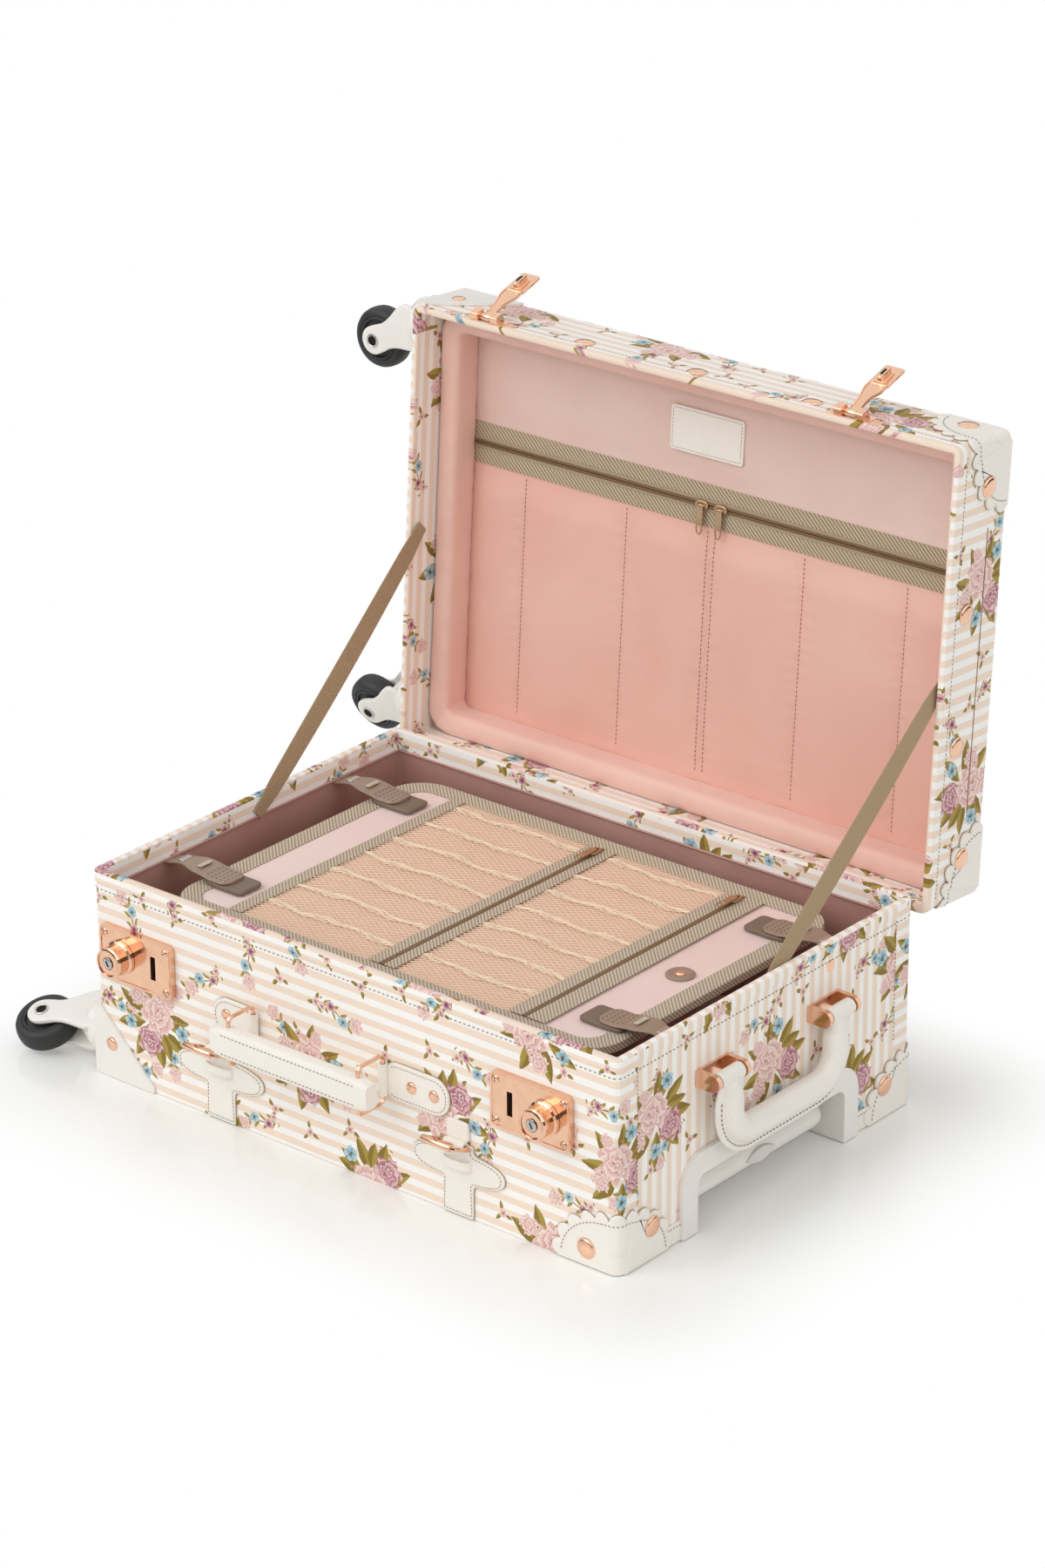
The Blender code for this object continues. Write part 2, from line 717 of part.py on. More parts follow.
def make_hasp(label, slot, copper, lid_pivot):
    """Hasp plate with its two lugs and pin on the lid's front wall, and the hasp between the lugs."""
    wall = LID_FRONT - SEAT_GAP
    axis_y = wall - HASP_PLATE_THICKNESS - HASP_BARREL_RADIUS + SEAT_GAP
    axis_z = LID_RIM + HASP_RISE
    lug_in = HASP_BARREL_LENGTH / 2 + SEAT_GAP
    lug_out = lug_in + HASP_LUG_LENGTH
    outline = rounded_rectangle(
        (slot - HASP_PLATE_WIDTH / 2, axis_z - HASP_BARREL_RADIUS),
        (slot + HASP_PLATE_WIDTH / 2, axis_z - HASP_BARREL_RADIUS + HASP_PLATE_HEIGHT),
        HASP_PLATE_HEIGHT / 4,
    )
    plate = piece(f"hasp_plate_{label}", extruded(outline, "y", wall - HASP_PLATE_THICKNESS, wall), copper)
    relief = block(
        (slot - lug_in, wall - 2 * HASP_PLATE_THICKNESS, axis_z - 2 * HASP_BARREL_RADIUS),
        (slot + lug_in, wall + HASP_PLATE_THICKNESS, axis_z + HASP_BARREL_RADIUS * 1.4),
    )
    cut(plate, relief)
    lugs = []
    for side in (-1, 1):
        lug_start = (slot + side * lug_in, axis_y, axis_z)
        lug_stop = (slot + side * lug_out, axis_y, axis_z)
        lugs.append(rod(lug_start, lug_stop, HASP_BARREL_RADIUS, 16))
    pin_half = lug_in + HASP_LUG_LENGTH / 2
    pin = rod((slot - pin_half, axis_y, axis_z), (slot + pin_half, axis_y, axis_z), HASP_PIN_RADIUS, 12)
    fused(plate, *lugs, pin)
    barrel_half = HASP_BARREL_LENGTH / 2
    tip = LOCK_LEVEL - HASP_TIP_PAST_SLOT
    shoulder = LOCK_LEVEL + HASP_TIP_PAST_SLOT
    front = axis_y - HASP_THICKNESS / 2
    arm_outline = [
        (slot - barrel_half, axis_z),
        (slot - barrel_half * 0.8, shoulder),
        (slot - HASP_END_WIDTH / 2, shoulder - HASP_THICKNESS),
        (slot - HASP_END_WIDTH / 2, tip + HASP_THICKNESS),
        (slot - HASP_END_WIDTH / 3, tip),
        (slot + HASP_END_WIDTH / 3, tip),
        (slot + HASP_END_WIDTH / 2, tip + HASP_THICKNESS),
        (slot + HASP_END_WIDTH / 2, shoulder - HASP_THICKNESS),
        (slot + barrel_half * 0.8, shoulder),
        (slot + barrel_half, axis_z),
    ]
    hasp = piece(f"hasp_{label}", extruded(arm_outline, "y", front, front + HASP_THICKNESS), copper)
    barrel_start = (slot - barrel_half, axis_y, axis_z)
    barrel_stop = (slot + barrel_half, axis_y, axis_z)
    barrel = rod(barrel_start, barrel_stop, HASP_BARREL_RADIUS, 16)
    staple = block(
        (slot - STAPLE_WIDTH / 2, front + HASP_THICKNESS / 2, LOCK_LEVEL - STAPLE_HEIGHT / 2),
        (slot + STAPLE_WIDTH / 2, FRONT - SEAT_GAP - STAPLE_END_PLAY, LOCK_LEVEL + STAPLE_HEIGHT / 2),
    )
    fused(hasp, barrel, staple)
    bore = HASP_PIN_RADIUS + HASP_PIN_PLAY
    past = barrel_half * 2
    cut(hasp, rod((slot - past, axis_y, axis_z), (slot + past, axis_y, axis_z), bore, 12))
    hasp_pivot = Pivot(f"hasp_{label}_axis", (slot, axis_y, axis_z), "X", -HASP_OPEN_TURN, lid_pivot)
    hasp_pivot.carry(hasp)
    lid_pivot.carry(plate)


def make_tab(label, fold, outward, length, leather):
    """Leather tab on the front wall, folded round the upright bar of a ring."""
    face = FRONT - SEAT_GAP
    loop_y = face - TAB_LOOP_RADIUS
    low_z = HANDLE_LEVEL - TAB_HEIGHT / 2
    high_z = HANDLE_LEVEL + TAB_HEIGHT / 2
    far = fold + outward * length
    ends = sorted((fold, far))
    outline = rounded_rectangle((ends[0], low_z), (ends[1], high_z), TAB_HEIGHT / 4, 4)
    tab = piece(f"handle_tab_{label}", extruded(outline, "y", face - TAB_THICKNESS, face), leather)
    inset = TAB_HEIGHT / 10
    loop_radius = TAB_LOOP_RADIUS - SEAT_GAP / 3
    fused(tab, rod((fold, loop_y, low_z + inset), (fold, loop_y, high_z - inset), loop_radius, 16))
    bore = RING_WIRE_RADIUS + RING_PLAY
    return cut(tab, rod((fold, loop_y, low_z - inset), (fold, loop_y, high_z + inset), bore, 12))


def ring_points(fold, pivot_y):
    """Rounded rectangle that a handle ring's wire follows, upright and square to the wall."""
    outline = rounded_rectangle(
        (pivot_y - RING_REACH, HANDLE_LEVEL - RING_HEIGHT / 2),
        (pivot_y, HANDLE_LEVEL + RING_HEIGHT / 2),
        RING_BEND,
    )
    return [(fold, y, z) for y, z in outline]


def make_front_handle(leather, copper):
    """Carry handle: a padded grip on two rings, which turn on upright bars in the tabs."""
    pivot_y = FRONT - SEAT_GAP - TAB_LOOP_RADIUS
    bar_y = pivot_y - RING_REACH
    for label, fold, outward, length in (
        ("left", HANDLE_LEFT_FOLD, -1, TAB_LEFT_LENGTH),
        ("right", HANDLE_RIGHT_FOLD, 1, TAB_RIGHT_LENGTH),
    ):
        make_tab(label, fold, outward, length, leather)
        wire = swept(ring_points(fold, pivot_y), (1, 0, 0), round_section(RING_WIRE_RADIUS), True)
        ring = piece(f"handle_ring_{label}", wire, copper)
        Pivot(f"handle_ring_{label}_axis", (fold, pivot_y, HANDLE_LEVEL), "Z").carry(ring)
    low_z = HANDLE_LEVEL - GRIP_HEIGHT / 2
    high_z = HANDLE_LEVEL + GRIP_HEIGHT / 2
    outline = rounded_rectangle(
        (HANDLE_LEFT_FOLD - GRIP_OVERRUN, bar_y - GRIP_THICKNESS / 2),
        (HANDLE_RIGHT_FOLD + GRIP_OVERRUN, bar_y + GRIP_THICKNESS / 2),
        GRIP_THICKNESS / 2.2,
        4,
    )
    grip_mesh = extruded(outline, "z", low_z, high_z)
    bevel_edges(grip_mesh, is_level, GRIP_THICKNESS / 4, 2)
    grip = piece("front_handle", grip_mesh, leather)
    bore = RING_WIRE_RADIUS + RING_PLAY
    for fold in (HANDLE_LEFT_FOLD, HANDLE_RIGHT_FOLD):
        cut(grip, rod((fold, bar_y, low_z - bore), (fold, bar_y, high_z + bore), bore, 12))
    Pivot("front_handle_axis", (HANDLE_LEFT_FOLD, bar_y, HANDLE_LEVEL), "Z").carry(grip)


def make_belt(label, centre, leather, copper):
    """Belt on the front wall: a stem with round-ended wings, and a buckle hinged in a loop at its top."""
    face = FRONT - SEAT_GAP
    back = face - BELT_THICKNESS
    stem_half = BELT_STEM_WIDTH / 2
    stem = block((centre - stem_half, back, SEAT_GAP), (centre + stem_half, face, BUCKLE_LEVEL))
    wing_outline = rounded_rectangle(
        (centre - BELT_WING_SPAN / 2, BELT_WING_LEVEL - BELT_WING_HEIGHT / 2),
        (centre + BELT_WING_SPAN / 2, BELT_WING_LEVEL + BELT_WING_HEIGHT / 2),
        BELT_WING_HEIGHT / 2.1,
        5,
    )
    wings = extruded(wing_outline, "y", back - SEAT_GAP / 3, face)
    loop_y = face - BUCKLE_LOOP_RADIUS
    loop_half = BUCKLE_WIDTH / 2 - BUCKLE_BEND
    loop_start = (centre - loop_half, loop_y, BUCKLE_LEVEL)
    loop = rod(loop_start, (centre + loop_half, loop_y, BUCKLE_LEVEL), BUCKLE_LOOP_RADIUS, 16)
    belt = fused(piece(f"belt_{label}", stem, leather), wings, loop)
    bore = BUCKLE_WIRE_RADIUS + RING_PLAY
    bore_start = (centre - BUCKLE_WIDTH, loop_y, BUCKLE_LEVEL)
    cut(belt, rod(bore_start, (centre + BUCKLE_WIDTH, loop_y, BUCKLE_LEVEL), bore, 12))
    outline = rounded_rectangle(
        (centre - BUCKLE_WIDTH / 2, loop_y - BUCKLE_REACH), (centre + BUCKLE_WIDTH / 2, loop_y), BUCKLE_BEND
    )
    loop_points = [(x, y, BUCKLE_LEVEL) for x, y in outline]
    wire = swept(loop_points, (0, 0, 1), round_section(BUCKLE_WIRE_RADIUS), True)
    buckle = piece(f"buckle_{label}", wire, copper)
    Pivot(f"buckle_{label}_axis", (centre, loop_y, BUCKLE_LEVEL), "X", -BUCKLE_REST_TURN).carry(buckle)


def make_end_bracket(label, centre, copper):
    """Clevis on the end wall: a plate, two cheeks and the pin that carries one end of the handle."""
    wall = END + SEAT_GAP
    pin_x = END + END_HANDLE_OUTSET
    inner = END_EYE_WIDTH / 2 + CLEVIS_SIDE_PLAY
    outer = inner + CLEVIS_CHEEK
    half = CLEVIS_HEIGHT / 2
    plate_outline = rounded_rectangle(
        (centre - outer, END_HANDLE_LEVEL - half), (centre + outer, END_HANDLE_LEVEL + half), half / 2
    )
    plate_mesh = extruded(plate_outline, "x", wall, wall + CLEVIS_PLATE)
    plate = piece(f"end_handle_bracket_{label}", plate_mesh, copper)
    cheek_outline = [(wall, END_HANDLE_LEVEL - half), (pin_x, END_HANDLE_LEVEL - half)]
    cheek_outline += arc((pin_x, END_HANDLE_LEVEL), half, -math.pi / 2, math.pi / 2, 6)[1:]
    cheek_outline += [(wall, END_HANDLE_LEVEL + half)]
    cheeks = []
    for low, high in ((inner, outer), (-outer, -inner)):
        cheeks.append(extruded(cheek_outline, "y", centre + low, centre + high))
    pin_half = inner + CLEVIS_CHEEK / 2
    pin_start = (pin_x, centre - pin_half, END_HANDLE_LEVEL)
    pin = rod(pin_start, (pin_x, centre + pin_half, END_HANDLE_LEVEL), END_PIN_RADIUS, 12)
    return fused(plate, *cheeks, pin)


def make_end_handle(leather, copper):
    """Padded U hanging on the pins of two clevises."""
    half = END_HANDLE_SPACING / 2
    centre = END + END_HANDLE_OUTSET
    head = END_HANDLE_LEVEL + END_EYE_HEAD
    low = END_HANDLE_LEVEL - END_HANDLE_DROP + END_EYE_WIDTH / 2
    bend = END_HANDLE_BEND
    outline = [(half, head)]
    outline += arc((half - bend, low + bend), bend, 0, -math.pi / 2, 6)
    outline += arc((bend - half, low + bend), bend, -math.pi / 2, -math.pi, 6)
    outline.append((-half, head))
    path = [(centre, y + END_HANDLE_CENTRE, z) for y, z in outline]
    broad, thick = END_EYE_WIDTH / 2, END_HANDLE_THICKNESS / 2
    section = rounded_rectangle((-broad, -thick), (broad, thick), END_HANDLE_THICKNESS / 4)
    handle = piece("end_handle", swept(path, (1, 0, 0), section), leather)
    bore = END_PIN_RADIUS + END_PIN_PLAY
    for label, side in (("front", -1), ("rear", 1)):
        eye = END_HANDLE_CENTRE + side * half
        make_end_bracket(label, eye, copper)
        start = (centre, eye - END_EYE_WIDTH, END_HANDLE_LEVEL)
        cut(handle, rod(start, (centre, eye + END_EYE_WIDTH, END_HANDLE_LEVEL), bore, 12))
    Pivot("end_handle_axis", (centre, 0, END_HANDLE_LEVEL), "Y").carry(handle)


def make_trolley(plastic, metal):
    """Trolley handle: housing in the end wall, guide tubes on the floor, sliding tubes, grip and button."""
    back = END - TROLLEY_DEPTH
    recess_back = back + TROLLEY_BACK
    front = END + TROLLEY_PROUD
    half_open = TROLLEY_WIDTH / 2 - TROLLEY_LEG
    open_top = TROLLEY_HEIGHT - TROLLEY_ARCH
    tubes_at = (-TUBE_SPACING / 2, TUBE_SPACING / 2)

    def along_tube(start, stop, y, radius, steps=16):
        """Round bar along X at the tubes' level."""
        return rod((start, y, TUBE_LEVEL), (stop, y, TUBE_LEVEL), radius, steps)

    housing = piece("trolley_housing", extruded(trolley_outline(0), "x", back, front), plastic)
    opening = rounded_rectangle((-half_open, -open_top), (half_open, open_top), TROLLEY_CORNER / 3)
    hole = TUBE_RADIUS + TUBE_PLAY
    holes = [along_tube(back - TUBE_RADIUS, recess_back + TUBE_RADIUS, y, hole) for y in tubes_at]
    cut(housing, extruded(opening, "x", recess_back, front + TROLLEY_DEPTH), *holes)

    guide_bore = hole
    guide_radius = guide_bore + GUIDE_WALL
    guide_head = back - SEAT_GAP
    guide_tail = BASE_WALL + GUIDE_TAIL_ROOM - END
    guide_length = guide_head - guide_tail
    foot_top = TUBE_LEVEL - guide_bore - GUIDE_WALL / 3
    foot = block(
        (guide_tail, tubes_at[0] - guide_radius, BASE_FLOOR + SEAT_GAP),
        (guide_tail + GUIDE_FOOT_LENGTH, tubes_at[1] + guide_radius, foot_top),
    )
    guide = piece("trolley_guide", foot, metal)
    sleeve = [(guide_radius, 0), (guide_radius, guide_length), (guide_bore, guide_length), (guide_bore, 0)]
    fused(guide, *[turned(sleeve, (guide_tail, y, TUBE_LEVEL), (1, 0, 0), 16) for y in tubes_at])

    grip_x = recess_back + TROLLEY_GRIP_BACK_PLAY + TROLLEY_GRIP_RADIUS
    tube_head = grip_x
    tube_tail = guide_tail + TUBE_TAIL_ROOM
    first_tube, other_tube = [along_tube(tube_tail, tube_head, y, TUBE_RADIUS) for y in tubes_at]
    tubes = piece("trolley_tubes", first_tube, metal)
    crossbar_x = tube_head - TUBE_CROSSBAR_RADIUS
    crossbar_ends = [(crossbar_x, y, TUBE_LEVEL) for y in tubes_at]
    fused(tubes, rod(*crossbar_ends, TUBE_CROSSBAR_RADIUS, 12), other_tube)
    bore_stop = tube_head - 2 * TUBE_SOCKET_DEPTH
    cut(tubes, *[along_tube(tube_tail - TUBE_RADIUS, bore_stop, y, TUBE_BORE_RADIUS, 12) for y in tubes_at])

    half_grip = TROLLEY_GRIP_LENGTH / 2
    radius = TROLLEY_GRIP_RADIUS
    grip_profile = [
        (0, -half_grip),
        (radius * 0.6, -half_grip),
        (radius * 0.92, -half_grip + radius * 0.3),
        (radius, -half_grip + radius * 0.8),
        (radius, half_grip - radius * 0.8),
        (radius * 0.92, half_grip - radius * 0.3),
        (radius * 0.6, half_grip),
        (0, half_grip),
    ]
    grip = piece("trolley_grip", turned(grip_profile, (grip_x, 0, TROLLEY_GRIP_LEVEL), (0, 1, 0)), plastic)
    socket = TUBE_RADIUS + SEAT_GAP
    sockets = [along_tube(grip_x - 2 * radius, tube_head + SEAT_GAP, y, socket) for y in tubes_at]
    channel = rod(*crossbar_ends, TUBE_CROSSBAR_RADIUS + SEAT_GAP, 12)
    button_face = grip_x + radius + BUTTON_PROUD
    button_back = button_face - BUTTON_THICKNESS
    pocket = lens_outline(SEAT_GAP)
    pocket_back = button_back - BUTTON_TRAVEL - SEAT_GAP
    cut(grip, *sockets, channel, extruded(pocket, "x", pocket_back, button_face + radius))
    piece("trolley_button", extruded(lens_outline(0), "x", button_back, button_face), plastic)


def lens_outline(grow):
    """Lens of two arcs that the trolley's release button fills, seen along X."""
    half_length = BUTTON_LENGTH / 2 + grow
    half_height = BUTTON_HEIGHT / 2 + grow
    steps = 10
    upper = []
    for step in range(steps):
        share = 2 * step / steps - 1
        upper.append((-share * half_length, half_height * (1 - share * share)))
    lower = [(-y, -z) for y, z in upper]
    return [(y, z + TROLLEY_GRIP_LEVEL) for y, z in upper + lower]


def make_net(name, left, right, fabric):
    """Flat net: rows and columns of square gaps in a thin sheet."""
    low = -DIVIDER_WIDTH / 2 + NET_EDGE_MARGIN
    high = -low
    bottom = DIVIDER_TOP + SEAT_GAP
    top = bottom + NET_THICKNESS
    bm = bmesh.new()
    lines_x = strand_lines(left, right, NET_COLUMNS)
    lines_y = strand_lines(low, high, NET_ROWS)
    grid = {}
    for column, x in enumerate(lines_x):
        for row, y in enumerate(lines_y):
            grid[column, row] = (bm.verts.new((x, y, bottom)), bm.verts.new((x, y, top)))
    solid = set()
    for column in range(len(lines_x) - 1):
        for row in range(len(lines_y) - 1):
            if column % 2 == 0 or row % 2 == 0:
                solid.add((column, row))
    for column, row in solid:
        corners = [(column, row), (column + 1, row), (column + 1, row + 1), (column, row + 1)]
        for level in (0, 1):
            bm.faces.new([grid[corner][level] for corner in corners])
        neighbours = [(column, row - 1), (column + 1, row), (column, row + 1), (column - 1, row)]
        for edge, neighbour in enumerate(neighbours):
            if neighbour in solid:
                continue
            one, two = grid[corners[edge]], grid[corners[(edge + 1) % 4]]
            bm.faces.new((one[0], two[0], two[1], one[1]))
    return piece(name, bm, fabric)


def strand_lines(low, high, gaps):
    """Edges of the strands across a net: a strand, then a gap and a strand for each gap."""
    pitch = (high - low - NET_STRAND) / gaps
    lines = [low, low + NET_STRAND]
    for gap in range(gaps):
        lines += [low + (gap + 1) * pitch, low + (gap + 1) * pitch + NET_STRAND]
    return lines


def lying(centre, along, up):
    """Matrix that lays a part's Y axis along one direction and its Z axis along another."""
    along, up = Vector(along), Vector(up)
    return Matrix.Translation(centre) @ Matrix((along.cross(up), along, up)).transposed().to_4x4()


def make_zip_slider(name, centre, along, pull_along, up, metal):
    """Zip slider on its line, with a flat pull lying from it along a direction of its own."""
    half_width, half_length = ZIP_SLIDER_WIDTH / 2, ZIP_SLIDER_LENGTH / 2
    body = block((-half_width, -half_length, 0), (half_width, half_length, ZIP_SLIDER_HEIGHT))
    pull_low = ZIP_SLIDER_HEIGHT - ZIP_PULL_THICKNESS * 1.5
    pull_half = ZIP_PULL_WIDTH / 2
    pull = block((-pull_half, 0, pull_low), (pull_half, ZIP_PULL_LENGTH, pull_low + ZIP_PULL_THICKNESS))
    body.transform(lying(centre, along, up))
    pull.transform(lying(centre, pull_along, up))
    return fused(piece(name, body, metal), pull)


def make_divider(board_finish, net_finish, clip_finish, metal):
    """Divider board on four hold-down clips, with two net pockets and the sliders of its two zips."""
    half_x, half_y = DIVIDER_LENGTH / 2, DIVIDER_WIDTH / 2
    outline = rounded_rectangle((-half_x, -half_y), (half_x, half_y), DIVIDER_CORNER, 5)
    piece("divider_board", extruded(outline, "z", DIVIDER_TOP - DIVIDER_THICKNESS, DIVIDER_TOP), board_finish)
    lane = ZIP_LANE / 2
    make_net("net_pocket_left", NET_LEFT_EDGE, ZIP_MIDDLE - lane, net_finish)
    make_net("net_pocket_right", ZIP_MIDDLE + lane, ZIP_RIGHT - lane, net_finish)
    rest_y = half_y - ZIP_END_MARGIN
    seat = DIVIDER_TOP + SEAT_GAP
    for label, zip_x in (("middle", ZIP_MIDDLE), ("right", ZIP_RIGHT)):
        centre = (zip_x, rest_y, seat)
        make_zip_slider(f"net_zip_slider_{label}", centre, (0, 1, 0), (0, -1, 0), (0, 0, 1), metal)
    for end_label, end_side in (("left", -1), ("right", 1)):
        for side_label, side in (("front", -1), ("rear", 1)):
            middle = side * CLIP_SPACING / 2
            make_clip(f"divider_clip_{end_label}_{side_label}", end_side, middle, clip_finish)


def make_clip(name, end_side, middle, clip_finish):
    """Hold-down clip: a grip plate on the board's end, arching over to a strap fixed on the end wall."""
    edge = DIVIDER_LENGTH / 2
    wall = END - BASE_WALL - SEAT_GAP
    low = DIVIDER_TOP + SEAT_GAP
    high = low + CLIP_THICKNESS
    crest = (edge + wall) / 2
    profile = [
        (edge - CLIP_LENGTH, low),
        (edge, low),
        (crest, low + CLIP_ARCH),
        (wall, low),
        (wall, low + CLIP_STRAP_THICKNESS),
        (crest, low + CLIP_ARCH + CLIP_STRAP_THICKNESS),
        (edge, high),
        (edge - CLIP_LENGTH, high),
    ]
    outline = [(end_side * x, z) for x, z in profile]
    return piece(name, extruded(outline, "y", middle - CLIP_WIDTH / 2, middle + CLIP_WIDTH / 2), clip_finish)


def make_padded_roll(satin):
    """Padded roll round the lid's inside: a crowned section carried round the four walls."""
    inset_far = SEAT_GAP + ROLL_FACE
    rim = BASE_HEIGHT + ROLL_RIM_CLEARANCE
    top = LID_PANEL_INSIDE - SEAT_GAP
    section = [(SEAT_GAP, top)]
    for step in range(7):
        angle = math.pi * step / 6
        inset = SEAT_GAP + ROLL_FACE * (1 - math.cos(angle)) / 2
        section.append((inset, rim + ROLL_CROWN * (1 - math.sin(angle))))
    section.append((inset_far, top))
    bm = bmesh.new()
    rings = []
    for inset, level in section:
        half_x = LID_END_INSIDE - inset
        half_y = -LID_FRONT_INSIDE - inset
        corner = max(ROLL_CORNER - inset, SEAT_GAP)
        outline = rounded_rectangle((-half_x, -half_y), (half_x, half_y), corner)
        rings.append([bm.verts.new((x, y, level)) for x, y in outline])
    for number, ring in enumerate(rings):
        following = rings[(number + 1) % len(rings)]
        for this in range(len(ring)):
            after = (this + 1) % len(ring)
            bm.faces.new((ring[this], ring[after], following[after], following[this]))
    return piece("lid_padded_roll", bm, satin)


def make_pocket_panel(satin):
    """Lid pocket: a sheet that swells between upright seams below the zip and lies flat above it."""
    half_x = LID_END_INSIDE - 2 * SEAT_GAP - ROLL_FACE
    half_y = -LID_FRONT_INSIDE - 2 * SEAT_GAP - ROLL_FACE
    top = LID_PANEL_INSIDE - SEAT_GAP
    face = top - POCKET_THICKNESS
    zip_y = LID_FRONT_INSIDE + POCKET_ZIP_FROM_FRONT
    puffed_from = zip_y + POCKET_ZIP_BAND / 2
    steps = 6
    columns = POCKET_CHANNELS * steps
    rows = [-half_y, zip_y - POCKET_ZIP_BAND / 2, puffed_from]
    rows += [puffed_from + (half_y - puffed_from) * share for share in (0.1, 0.25, 0.5, 0.75, 0.9, 1.0)]
    bm = bmesh.new()
    lower = []
    for y in rows:
        share = max(0.0, (y - puffed_from) / (half_y - puffed_from))
        swell = POCKET_PUFF * math.sin(math.pi * share) ** 0.5 if 0 < share < 1 else 0
        line = []
        for column in range(columns + 1):
            x = -half_x + 2 * half_x * column / columns
            wave = abs(math.sin(math.pi * column / steps))
            line.append(bm.verts.new((x, y, face - swell * wave)))
        lower.append(line)
    for one, two in zip(lower, lower[1:]):
        for column in range(columns):
            bm.faces.new((one[column], one[column + 1], two[column + 1], two[column]))
    right_side = [line[-1] for line in lower[1:]]
    left_side = [line[0] for line in lower[-2:0:-1]]
    border = lower[0] + right_side + lower[-1][-2::-1] + left_side
    upper = [bm.verts.new((vert.co.x, vert.co.y, top)) for vert in border]
    bm.faces.new(upper)
    for this in range(len(border)):
        after = (this + 1) % len(border)
        bm.faces.new((border[this], border[after], upper[after], upper[this]))
    return piece("lid_pocket_panel", bm, satin)


def make_stay(label, side, lid_pivot_turn, webbing):
    """Webbing stay, taut from the tray's end wall to the lid's end wall."""
    base_x = END - BASE_WALL - STAY_BASE_GAP - STAY_THICKNESS / 2
    lid_x = LID_END_INSIDE - SEAT_GAP - STAY_THICKNESS / 2
    start = Vector((side * base_x, 0, BASE_HEIGHT - STAY_BASE_DROP))
    closed = Vector((side * lid_x, 0, LID_RIM + STAY_LID_DEPTH))
    stop = HINGE_AXIS + Matrix.Rotation(lid_pivot_turn, 3, "X") @ (closed - HINGE_AXIS)
    run = (stop - start).normalized()
    across = run.cross(Vector((1, 0, 0))).normalized() * STAY_WIDTH / 2
    thick = Vector((STAY_THICKNESS / 2, 0, 0))
    bm = bmesh.new()
    corners = []
    around = ((-1, -1), (1, -1), (1, 1), (-1, 1))
    for middle in (start, stop):
        corners.append([bm.verts.new(middle + across * a + thick * t) for a, t in around])
    for ring in corners:
        bm.faces.new(ring)
    for this in range(4):
        after = (this + 1) % 4
        bm.faces.new((corners[0][this], corners[0][after], corners[1][after], corners[1][this]))
    return piece(f"lid_stay_{label}", bm, webbing)


